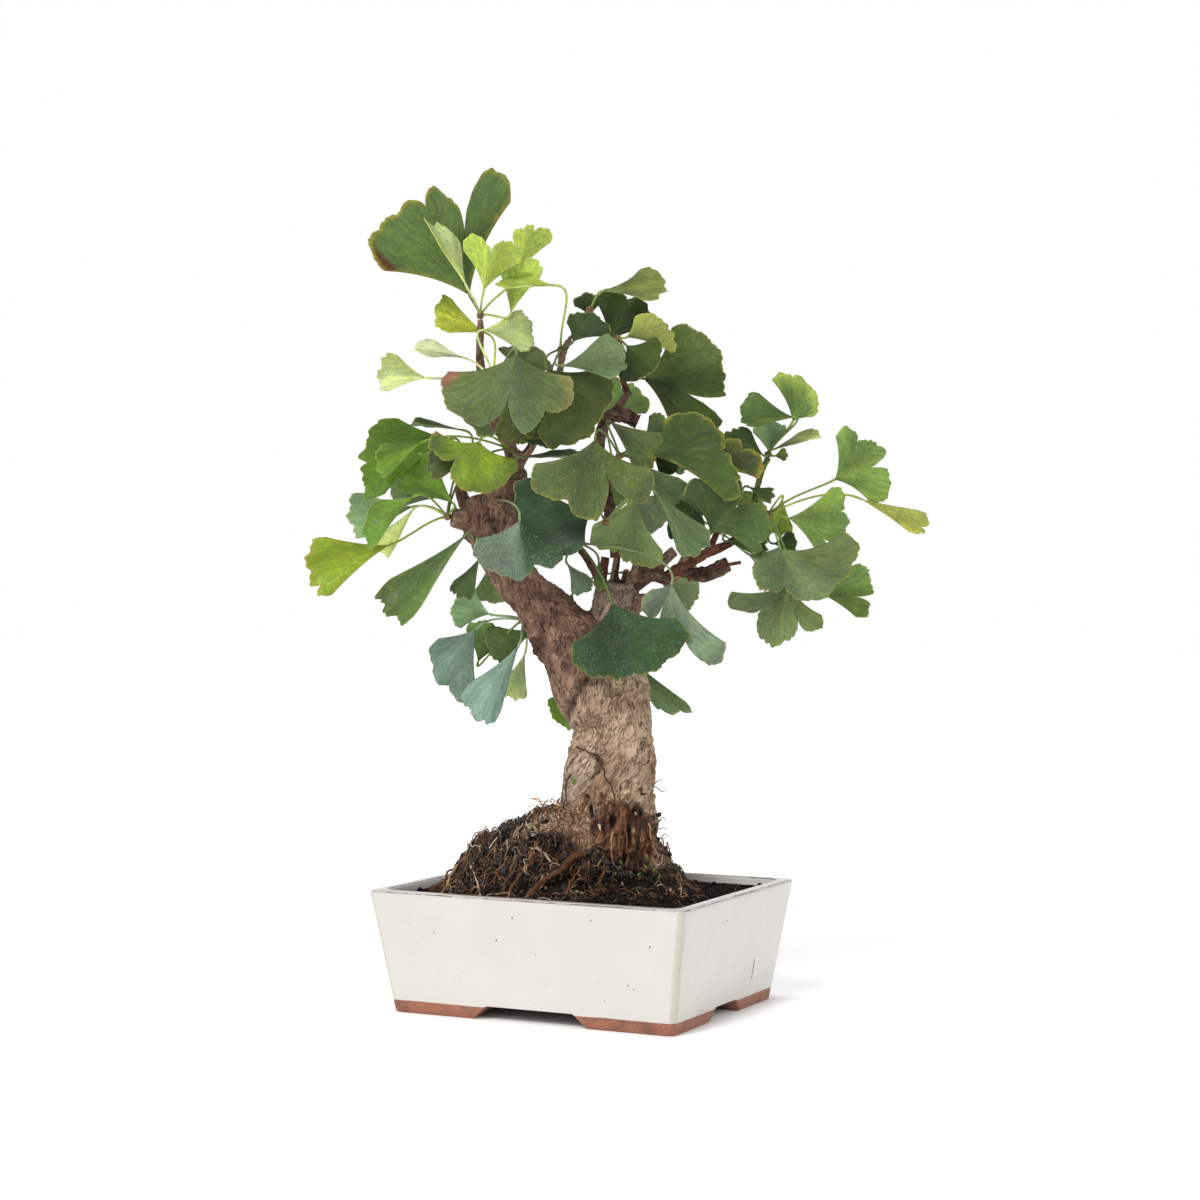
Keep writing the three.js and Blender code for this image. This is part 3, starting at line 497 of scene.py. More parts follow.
def soil_look():
    """Damp dark peat with brown crumbs and a few pale bits."""
    look = Look("soil", Specular_IOR_Level=0.12)
    place = look.place()
    shade, rare, _ = look.axes(look.cells(1.5, place, "Color"))
    base = look.blend(shade, colour(24, 19, 19), colour(50, 40, 36))
    for share, tone in ((look.span(look.noise(12, place), 0.42, 0.66), (18, 14, 15)),
                        (look.span(rare, 0.965, 0.985), (120, 96, 74)),
                        (look.span(look.value("tint"), 0.2, 1.0), (96, 70, 48))):
        base = look.blend(share, base, colour(*tone))
    height = look.noise(0.9, place, 5, 0.7) + look.cells(1.2, place)
    rough = look.span(look.noise(2.4, place), 0.3, 0.7, 0.7, 1.0)
    return look.join(Base_Color=base, Roughness=rough, Normal=look.bump(height, 0.6))


def mesh_look():
    """Black plastic drain mesh."""
    look = Look("mesh")
    x, y, _ = look.axes(look.place())
    strand = look.larger(*(abs(look.math("SINE", axis * 1.6)) for axis in (x, y)))
    base = look.blend(look.span(strand, 0.5, 0.9), colour(18, 19, 20), colour(58, 60, 62))
    return look.join(Base_Color=base, Normal=look.bump(strand, 0.4))


def leaf_look(name, gloss, warm):
    """Ginkgo blade: its tone and marks come with the mesh; veins fork again and again towards the margin."""
    look = Look(name, Specular_IOR_Level=0.3)
    angle, out, edge = look.axes(look.value("blade", "Vector"))
    rust, stain, fringe = look.axes(look.value("marks", "Vector"))
    tone, place = look.value("tone", "Color"), look.place()
    # Veins lie about 0.9 mm apart: their number doubles each time that the distance from the base does.
    level = look.math("LOGARITHM", look.larger(out / 3.0, 1.0), 2.0)
    whole = look.math("FLOOR", level)
    across = look.math("FRACT", angle * (look.math("POWER", 2.0, whole) * 3.4) + 0.5)
    vein = look.span(abs(abs(across - 0.5) - (level - whole) * 0.25), 0.16, 0.0)

    # rays, clouds and grain of lighter and darker green
    other = look.noise(45, place, 1) * 40.0

    def radial(turns, length, detail, rough):
        """Streaks that run out from the base."""
        at = look.node("CombineXYZ", {0: angle * turns, 1: out * length, 2: other})
        return look.noise(1.0, at, detail, rough)

    rays, fine = radial(9.0, 0.035, 4, 0.65), radial(30.0, 0.06, 2, 0.6)
    # painted light and shade: one half of the blade is painted lighter than the other, and the blade is painted darker
    # towards its base
    side = look.span(angle * 1.6 + 0.5, 0.0, 1.0, -1.0, 1.0)
    shade = look.span(rays, 0.32, 0.68, 0.84, 1.14)
    for factor in (look.span(look.noise(10, place, 3), 0.36, 0.66, 1.05, 0.93), look.span(fine, 0.36, 0.64, 0.91, 1.08),
                   side * look.span(look.noise(52, place, 0), 0.42, 0.58, -0.22, 0.22) + 1.0,
                   look.span(out, 4.0, 42.0, 0.86, 1.07),
                   look.span(look.noise(0.9, place, 3, 0.7), 0.3, 0.7, 0.88, 1.12), vein * 0.4 + 0.84):
        shade = shade * factor
    base = look.blend(look.span(rays, 0.4, 0.64), tone, look.times(tone, (1.28 - 0.2 * warm, 1.04, warm)))
    base = look.scaled(base, shade)
    # whitish lime specks and smears
    flecks = look.span(look.cells(1.25, place), 0.34, 0.14)
    smears = look.span(look.noise(1.8, place, 5, 0.75), 0.54, 0.7)
    pale = look.larger(flecks, smears) * (look.span(look.noise(8, place, 3), 0.38, 0.62, 0.15, 1.0) * stain)
    base = look.blend(pale * 0.62, base, leafy(176, 190, 172))
    # thin pale margin, wider and yellower where the fringe says
    rim = look.span(edge + look.noise(1.8, place) * 0.9, 1.25, 0.7)
    rim = rim * look.span(look.noise(9, place, 2), 0.36, 0.6, 0.3, 0.8)
    base = look.blend(rim, base, look.blend(0.55, look.times(tone, (1.7, 1.6, 1.5)), leafy(182, 186, 116)))
    wide = fringe * 9.0 - (edge + look.noise(6, place, 4) * 7.0)
    golden = look.blend(look.span(look.noise(4, place), 0.4, 0.65), leafy(164, 168, 52), leafy(176, 140, 60))
    base = look.blend(look.span(wide, -3.5, 2.0, 0.0, 0.8), base, golden)
    # rust specks, thick along the margin, and a few scorched blots
    near = look.span(edge, 9.0, 1.0, 0.25, 1.0) * rust
    speck = look.span(look.cells(1.3, place), 0.36, 0.16) * look.span(look.noise(6, place, 3), 0.45, 0.62)
    base = look.blend(speck * near, base, leafy(176, 112, 48))
    blot = look.span(look.noise(5, place, 4, 0.6), 0.64, 0.7)
    base = look.blend(blot * near, base, leafy(122, 82, 52))
    height = vein * 0.6 + look.noise(4, place, 2) * 1.6 + rays * 1.5
    rough = look.span(look.noise(5, place), 0.3, 0.7, gloss - 0.08, gloss + 0.12) + pale * 0.3
    return look.join(Base_Color=base, Roughness=rough, Normal=look.bump(height, 0.26))


def plain_look(name, low, high, size):
    """Two mottled tones with a fine bump, for buds and weeds."""
    look = Look(name)
    mottle = look.noise(size, look.place(), 4, 0.65)
    base = look.blend(look.span(mottle, 0.35, 0.65), colour(*low), colour(*high))
    return look.join(Base_Color=base, Roughness=look.span(mottle, 0.2, 0.8, 0.5, 0.75), Normal=look.bump(mottle, 0.3))



# ---------------------------------------------------------------- pot
FRONT_ARCH, SIDE_ARCH = (36.5, 27.5), (21.5, 14.3)
# the outside from the ground up: height, and how far it lies inside the leaning wall
OUTSIDE = ((0, 1.3), (0.35, 0.55), (0.9, 0.12), (1.6, 0), (4, 0), (POT["arch"], 0),
           (12, 0), (22, 0), (34, 0), (46, 0), (58, 0), (66, 0))
INNER_LIP = 1.6
DRAINS, DRAIN_RADIUS, DRAIN_SIDES = (-45, 45), 7, 40
CUT_END = 130


def rectangle(z, inset, corner, per_corner=7, per_side=10):
    """A rounded rectangle of the pot at a height, counterclockwise from the back end of its right side."""
    lean = POT["taper"] * (1 - min(z, POT["height"]) / POT["height"])
    half_x, half_y = POT["length"] / 2 - lean - inset, POT["depth"] / 2 - lean - inset
    ring = []
    for quarter, (right, back) in enumerate(((1, 1), (-1, 1), (-1, -1), (1, -1))):
        for i in range(per_corner + 1):
            a = (quarter + i / per_corner) * math.pi / 2
            ring.append((right * (half_x - corner) + corner * math.cos(a),
                         back * (half_y - corner) + corner * math.sin(a)))
    ring = np.array(ring)
    full = []
    for i, (a, b) in enumerate(zip(ring, np.roll(ring, -1, 0))):
        steps = per_side if (i + 1) % (per_corner + 1) == 0 else 1
        full += [a + (b - a) * k / steps for k in range(steps)]
    return np.column_stack([np.array(full), np.full(len(full), z)])


def pot():
    """The glazed pot, with its feet and drain holes cut out and its edges rounded."""
    top, lip, wall, bottom, arch, foot, corner, inner_corner = (
        POT[key] for key in ("height", "lip", "wall", "floor", "arch", "foot", "corner", "inner_corner"))
    rings = [rectangle(z, inset, corner) for z, inset in OUTSIDE]
    for step in range(8):
        a = step / 7 * math.pi / 2
        rings.append(rectangle(top - lip + lip * math.sin(a), lip * (1 - math.cos(a)), corner - 1.6 * step / 7))
    for step in range(5):
        a = step / 4 * math.pi / 2
        rings.append(rectangle(top - INNER_LIP * (1 - math.cos(a)), wall - INNER_LIP + INNER_LIP * math.sin(a),
                               inner_corner - 1))
    rings += [rectangle(z, wall + inset, inner_corner) for z, inset in
              ((60, 0), (45, 0), (30, 0), (bottom + 4, 0), (bottom + 1, 1.2), (bottom, 3.5))]
    # after foot, outside, rim, inside and floor comes the recess below, which runs back to the foot
    inner, count = len(rings), len(rings[0])
    rings += [rectangle(arch, foot + 3.2, 4), rectangle(arch - 1, foot + 1.9, 4), rectangle(0, foot, 4)]
    faces = tube_faces(inner, count) + tube_faces(3, count, inner * count)
    low = (inner + 2) * count
    faces += [[low + i, low + (i + 1) % count, (i + 1) % count, i] for i in range(count)]
    faces += [list(range((inner - 1) * count, inner * count)), list(range(inner * count, (inner + 1) * count))[::-1]]
    body = placed_mesh("pot_body", to_row(np.concatenate(rings), False), faces)

    cutters = []
    for (low, high), through_sides in ((FRONT_ARCH, False), (SIDE_ARCH, True)):
        slope = (low - high) / arch
        profile = [(-low - 2 * slope, -2), (low + 2 * slope, -2), (high, arch), (-high, arch)]
        block = np.array([(x, end, z) for end in (-CUT_END, CUT_END) for x, z in profile])
        if through_sides:
            block = block[:, [1, 0, 2]] * vec(1, -1, 1)
        sides = [[i, i + 4, (i + 1) % 4 + 4, (i + 1) % 4] for i in range(4)]
        cutters.append((block, [[0, 1, 2, 3], [7, 6, 5, 4], *sides]))
    angle = np.linspace(0, 2 * math.pi, DRAIN_SIDES, endpoint=False)
    for side in DRAINS:
        x, y = side + DRAIN_RADIUS * np.cos(angle), DRAIN_RADIUS * np.sin(angle)
        drain = np.concatenate([np.column_stack([x, y, np.full(DRAIN_SIDES, z)]) for z in (4, 20)])
        ends = [list(range(DRAIN_SIDES))[::-1], list(range(DRAIN_SIDES, 2 * DRAIN_SIDES))]
        cutters.append((drain, ends + tube_faces(2, DRAIN_SIDES)))
    tools = [placed_mesh(f"cut{i}", to_row(points, False), faces) for i, (points, faces) in enumerate(cutters)]
    for tool in tools:
        cut = body.modifiers.new(tool.name, "BOOLEAN")
        cut.operation, cut.solver, cut.object = "DIFFERENCE", "EXACT", tool
    soften = body.modifiers.new("soften", "BEVEL")
    soften.width, soften.segments, soften.limit_method, soften.angle_limit = 0.0008, 3, "ANGLE", math.radians(38)
    mesh = applied(body, "pot_glazed")
    for tool in tools:
        bpy.data.objects.remove(tool)

    x, y, z = ((points_of(mesh) - POT_AT) / MM).T
    lean = POT["taper"] * (1 - z / top)
    from_x, from_y = POT["length"] / 2 - lean - np.abs(x), POT["depth"] / 2 - lean - np.abs(y)
    inward = np.minimum(from_x, from_y)
    put(mesh, "edge", np.where((inward < 3) & (z > 7), smooth(5.5, 1.0, np.hypot(from_x, from_y)), 0))
    # the bare clay of the recess under the pot, which the glaze also paints dark as painted shade
    put(mesh, "recess_bare_and_shaded", smooth(6.0, 7.5, inward) * smooth(8.6, 8.1, z))
    finish_piece(mesh, glaze_look(), ["pot"], sharp=50)


# ---------------------------------------------------------------- soil
SOIL_EDGE, SOIL_LEVELS = 66, 64
MOUNDS = (((8, 4), 16, 38), ((-46, 0), 27, 30), ((-66, 2), 9, 14), ((-16, 2), 18, 26), ((40, 4), 14, 18))
# loose grains: name, ball level, number, least and greatest radius
GRAINS = (("soil_crumbs", 2, 1100, 0.9, 2.5), ("soil_grit", 1, 4300, 0.35, 1.1))


def half_inside(gap):
    """Half the length and half the depth inside the pot's wall, less a gap."""
    return POT["length"] / 2 - POT["wall"] - gap, POT["depth"] / 2 - POT["wall"] - gap


def soil_height(x, y):
    """Height of the filling as in part.mjs, in the pot's directions."""
    u = x * math.cos(TREE_TURN) + y * math.sin(TREE_TURN)
    v = y * math.cos(TREE_TURN) - x * math.sin(TREE_TURN)
    height = SOIL_EDGE + 0.7 * np.sin(0.31 * u) * np.cos(0.27 * v + 1)
    for at, high, wide in MOUNDS:
        height = height + high * np.exp(-((np.hypot(u - at[0], v - at[1]) / wide) ** 2.4))
    return height


def soil_top(x, y):
    """Height of the finished surface, level at the wall and lumpy."""
    half_x, half_y = half_inside(1.2)
    inward = 1 - np.maximum(np.abs(x) / half_x, np.abs(y) / half_y)
    fade = np.clip(inward * 3, 0, 1)
    height = SOIL_EDGE + (soil_height(x, y) - SOIL_EDGE) * fade
    p = np.stack([x, y, height], -1)
    steep = smooth(68, 80, height)
    return height + fractal(p / 9, 2, 3) * (1.1 + steep) * fade + fractal(p / 3.1, 3, 5) * (0.9 + 0.7 * steep)


def ground(u, v):
    """Height of the soil at a place of the tree's frame."""
    x, y = to_pot(u, v)
    return float(soil_top(np.array(x), np.array(y)))


def lumpy(points, depth, cells, shift):
    """The points of a ball, moved in and out by noise."""
    return points * (1 + depth * noise(points * cells + shift))[:, None]


def soil():
    """The bed, filling the pot, with crumbs and grit strewn over it."""
    def outline(z, inset):
        return rectangle(z, POT["wall"] + inset, POT["inner_corner"], 8, 44)

    rings = [outline(18, 3.6), outline(22, 0.4), outline(60, 0.3)]
    edge = outline(SOIL_EDGE, 0.15)
    for level in range(SOIL_LEVELS):
        x, y = (edge[:, :2] * (1 - level / SOIL_LEVELS)).T
        rings.append(np.column_stack([x, y, soil_top(x, y)]))
    look = soil_look()
    bed = Mesh("soil_bed", tint=1)
    bed.add(*capped(np.array(rings)))
    bed.build(look, turned=False, replaces=["soil"])

    rng = np.random.default_rng(21)
    half_x, half_y = half_inside(3)
    for name, level, many, small, large in GRAINS:
        unit_points, unit_faces = ball(level)
        grains = Mesh(name, tint=1)
        for _ in range(many):
            x, y = rng.uniform(-half_x, half_x), rng.uniform(-half_y, half_y)
            radius = small + (large - small) * rng.random() ** 3
            lump = lumpy(unit_points, 0.38, 1.7, rng.uniform(0, 90, 3))
            turn = np.linalg.qr(rng.normal(size=(3, 3)))[0]
            shape = (lump * rng.uniform(0.6, 1.15, 3)) @ turn * radius
            centre = vec(x, y, float(soil_top(np.array(x), np.array(y))) + radius * 0.25)
            grains.add(shape + centre, unit_faces, tint=[rng.random() ** 6])
        grains.build(look, turned=False)


# ---------------------------------------------------------------- wood
# Stems of all kinds: stations of u, v, z and radius
BUTT = [[8, 2, 52, 26], [8, 2, 80, 31], [12, 1, 100, 28], [13, 0, 130, 27], [17, 0, 150, 25], [17, 0, 166, 22],
        [13, 0, 182, 24]]
ROOTS = [
    [[2, 0, 110, 14], [-18, -3, 107, 10], [-34, -4, 101, 8], [-52, -2, 92, 6], [-66, 0, 76, 4]],
    [[0, -8, 96, 12], [-8, -22, 87, 6.5], [-20, -30, 79, 4.5], [-34, -36, 66, 3]],
    [[30, -4, 94, 12], [42, -8, 82, 8], [49, -14, 68, 5]],
    [[18, 12, 96, 14], [26, 28, 80, 9], [32, 42, 66, 6]],
    [[-2, 14, 98, 12], [-20, 26, 84, 8], [-34, 36, 68, 5]],
]
FINE_ROOTS = [
    [[-30, -12, 96, 1.2], [-25, -22, 88, 1.1], [-20, -26, 82, 1], [-21, -30, 74, 0.9]],
    [[-58, -1, 86, 1.1], [-73, -11, 84, 1], [-80, -14, 76, 0.9], [-82, -16, 64, 0.9]],
    [[-60, -1, 84, 1.1], [-68, -16, 83, 1], [-74, -22, 74, 0.9], [-76, -24, 64, 0.9]],
    [[-42, -4, 96, 1.2], [-48, -19, 88, 1], [-52, -30, 76, 0.9], [-54, -34, 64, 0.9]],
    [[-33, -5, 99, 1.1], [-38, -22, 88, 1], [-44, -34, 76, 0.9], [-50, -40, 64, 0.9]],
    [[-4, -24, 84, 1.1], [-8, -34, 76, 1], [-12, -42, 68, 0.9], [-14, -46, 60, 0.9]],
]
LIMBS = [
    [[15, 0, 166, 20], [4, 0, 186, 25], [-1, 0, 203, 24], [-12, -1, 217, 20], [-30, -2, 238, 14], [-46, -2, 256, 12],
     [-57, -1, 276, 11.5], [-62, 1, 298, 8]],
    [[17, 0, 168, 21], [17, 0, 200, 18], [16, 0, 222, 15], [18, 0, 238, 14], [20, 0, 247, 8]],
]
BURL = [[-6, -14, 124, 6], [-1, -19, 136, 9], [6, -17, 150, 6]]
HOLLOW_AT, HOLLOW_REACH = (25, -31, 103), (12, 7, 17)
# Cut stubs, leaders, twigs and spurs; the letter gives the skin: b brown, r reddish young wood, p pale, g green
BRANCHES = [
    ("b", [[-40, 1, 256, 12], [-46, 2, 280, 15], [-45, 2, 300, 14], [-39, 2, 315, 6]]),
    ("b", [[-58, 0, 280, 8], [-70, -1, 284, 7], [-78, -3, 285, 5.5]]),
    ("b", [[-66, 4, 284, 5], [-72, 9, 298, 4], [-74, 11, 305, 3]]),
    ("b", [[-58, 0, 286, 8], [-50, 0, 303, 6.5], [-42, 0, 318, 5], [-47, 0, 333, 4], [-57, 0, 348, 3.5],
           [-61, 0, 376, 3], [-61, 0, 401, 2]]),
    ("b", [[-47, 0, 306, 5], [-30, 3, 330, 3.5], [-18, 2, 358, 2.8], [-13, 0, 380, 2.4], [-8, 0, 391, 2],
           [2, 0, 405, 1.8]]),
    ("p", [[15, 0, 236, 5], [18, 1, 252, 3.4], [20, 1, 266, 3]]),
    ("p", [[24, 0, 238, 6], [29, 1, 252, 3.6], [34, 1, 267, 3]]),
    ("r", [[9, 2, 238, 4], [10, 3, 250, 3], [12, 4, 262, 2.4]]),
    ("b", [[22, -3, 234, 7], [34, -5, 236, 5.5], [45, -6, 236, 5]]),
    ("b", [[22, 1, 242, 6], [36, 1, 251, 5], [46, 1, 260, 4], [53, 1, 266, 3.6]]),
    ("r", [[40, 0, 252, 4.4], [50, -1, 249, 4], [62, -3, 266, 2.4], [75, -4, 278, 1.9], [88, -5, 282, 1.6]]),
    ("r", [[48, -1, 250, 4], [66, -2, 262, 3], [84, -2, 270, 2.4], [98, -2, 280, 2], [105, -3, 285, 1.8]]),
    ("g", [[96, -2, 278, 1.8], [99, -1, 295, 1.7], [103, 0, 311, 1.6], [107, 0, 320, 1.6]]),
    ("b", [[55, 1, 254, 3], [70, 3, 252, 4.6], [84, 4, 258, 4.4]]),
    ("b", [[18, 1, 262, 3], [14, 2, 292, 3.6], [8, 2, 322, 3.4], [12, 1, 342, 3.6], [18, 0, 348, 2.4],
           [26, -1, 359, 1.8]]),
    ("b", [[10, 1, 343, 3.6], [22, 0, 345, 4.4], [31, 0, 341, 4]]),
    ("r", [[12, 2, 240, 3], [4, -6, 256, 1.9], [-4, -12, 268, 1.6]]),
    ("b", [[14, 2, 292, 2], [12, -11, 283, 1.6]]),
    ("r", [[60, -2, 249, 1.3], [76, -2, 256, 1.1], [91, -2, 259, 1]]),
    ("r", [[25, -1, 357, 1.9], [20, 5, 374, 1.6], [18.8, -7.4, 387.2, 1.1]]),
    ("b", [[11, 2, 312, 2.4], [15, -4, 316, 1.8], [19, -8, 319, 1.6]]),
    ("b", [[-43, 0, 318, 2.5], [-43, -6, 321, 2], [-43, -9, 323, 1.8]]),
    ("b", [[-57, 0, 350, 2.2], [-55, -7, 356, 1.8], [-52, -12, 362, 1.6]]),
    ("b", [[-25, 3, 228, 5], [-31, 9, 226, 2.4], [-35, 14, 225, 1.8]]),
    ("b", [[10, 6, 190, 6], [11, 22, 198, 2.4], [12, 28, 203, 1.8]]),
    ("b", [[-50, 2, 262, 4], [-62, 18, 268, 2.4], [-70, 30, 274, 1.8]]),
    ("b", [[-44, 2, 322, 3], [-42, 18, 336, 2.2], [-40, 28, 348, 1.8]]),
    ("b", [[13, 3, 296, 3], [14, 20, 306, 2.2], [16, 30, 316, 1.8]]),
    ("r", [[68, -1, 262, 2.6], [74, 16, 268, 2.2], [78, 26, 276, 1.8]]),
    ("b", [[20, 6, 238, 4], [22, 24, 244, 2.2], [24, 34, 252, 1.8]]),
]
KNOBS = [[[-22, -6, 209, 5], [-29, -8, 211, 3.6]], [[33, -6, 143, 6], [41, -9, 143, 3.4]]]
# holes and clefts of the lower trunk's front: u, z, half width, half height
PITS = ((16.8, 111, 2.2, 6), (31.7, 114.5, 4, 3.6), (3.4, 116, 1.4, 5), (26, 100, 1.6, 7), (10, 92, 5, 2.2),
        (24, 88, 1.5, 5), (-23.5, 109.5, 3.4, 2.4))
# where the soil that clings to the front of the foot ends: u, z
SOIL_LINE = ((-45, -31, 8, 13, 20, 32, 45), (101, 99.5, 97, 93, 86, 79, 76))
SKINS = {"b": (122, 94, 80), "r": (116, 74, 58), "p": (206, 182, 166), "g": (120, 140, 70)}
VOXEL = 0.95
# from this radius on, a branch is part of the trunk's one skin
THICK = 4.4
# creases of the front, as heights and the u of each: where the limb's bulge folds over the butt, and by the burl
LIMB_CREASE = ((150, 165, 174, 192, 204), (-17, -12, -8, 0, 5))
BURL_CREASE = ((128, 133, 138, 144, 151), (-2, 2, 8, 9.5, 3))
TWIG_SIDES = 14


def stem_line(stations, per_span):
    """Centres, tangents and radii along a stem."""
    places = np.linspace(0, len(stations) - 1, (len(stations) - 1) * per_span + 1)
    return *catmull(stations, places), np.interp(places, range(len(stations)), [s[3] for s in stations])


def arc_of(centres):
    """Length along a line, from its start to each of its points."""
    return np.concatenate([[0], np.cumsum(np.linalg.norm(np.diff(centres, axis=0), axis=1))])


def stem(stations, sides):
    """A closed tube, fluted where it is thick."""
    centres, tangents, radii = stem_line(stations, 4)
    flute = 1
    if sides >= 24:
        angle = np.linspace(0, 2 * math.pi, sides, endpoint=False)
        flute = 1 + 0.05 * np.sin(3 * angle + np.linspace(0, len(stations) - 1, len(centres))[:, None])
    return capped(swept(centres, tangents, radii, sides, flute))


def remeshed(points, faces, name, ease=0):
    """One skin round overlapping closed shapes, given and made in millimetres."""
    thing = placed_mesh(name + "_raw", points, faces)
    skin = thing.modifiers.new("skin", "REMESH")
    skin.mode, skin.voxel_size = "VOXEL", VOXEL
    if ease:
        even = thing.modifiers.new("even", "SMOOTH")
        even.factor, even.iterations = 0.5, ease
    return applied(thing, name)


def joined_wood(stems):
    """One skin over the thick stems, with the rot hollow pressed into it."""
    gathered = Mesh("wood")
    for stations, sides in stems:
        gathered.add(*stem(stations, sides))
    whole = remeshed(np.concatenate(gathered.points), gathered.faces, "whole")
    points = points_of(whole)
    reach = np.array(HOLLOW_REACH) * (1 + 0.18 * fractal(points / 7, 2, 4))[:, None]
    q = (points - HOLLOW_AT) / reach
    back = HOLLOW_AT[1] + reach[:, 1] * np.sqrt(np.maximum(0, 1 - q[:, 0] ** 2 - q[:, 2] ** 2))
    points[:, 1] = np.where((q**2).sum(1) < 1, back, points[:, 1])
    return remeshed(points, [f.vertices[:] for f in whole.polygons], "trunk_bark", 6)


def nearest_stem(points, stems):
    """For each point, the sample of the stem whose skin is nearest.

    A sample is a centre, a tangent, two directions square to it, a radius, the length so far and the stem's index.
    """
    samples = []
    for index, (stations, _) in enumerate(stems):
        length = arc_of(np.array(stations)[:, :3])[-1]
        centres, tangents, radii = stem_line(stations, max(3, int(length / (len(stations) - 1) / 2.0)))
        arc = arc_of(centres)
        samples.append(np.column_stack([centres, tangents, *carried(tangents), radii, arc, np.full(len(arc), index)]))
    samples = np.concatenate(samples)
    found = np.zeros(len(points), int)
    for start in range(0, len(points), 4000):
        block = points[start : start + 4000]
        away = np.linalg.norm(block[:, None] - samples[None, :, :3], axis=2) - samples[None, :, 12]
        found[start : start + 4000] = away.argmin(1)
    return samples[found]


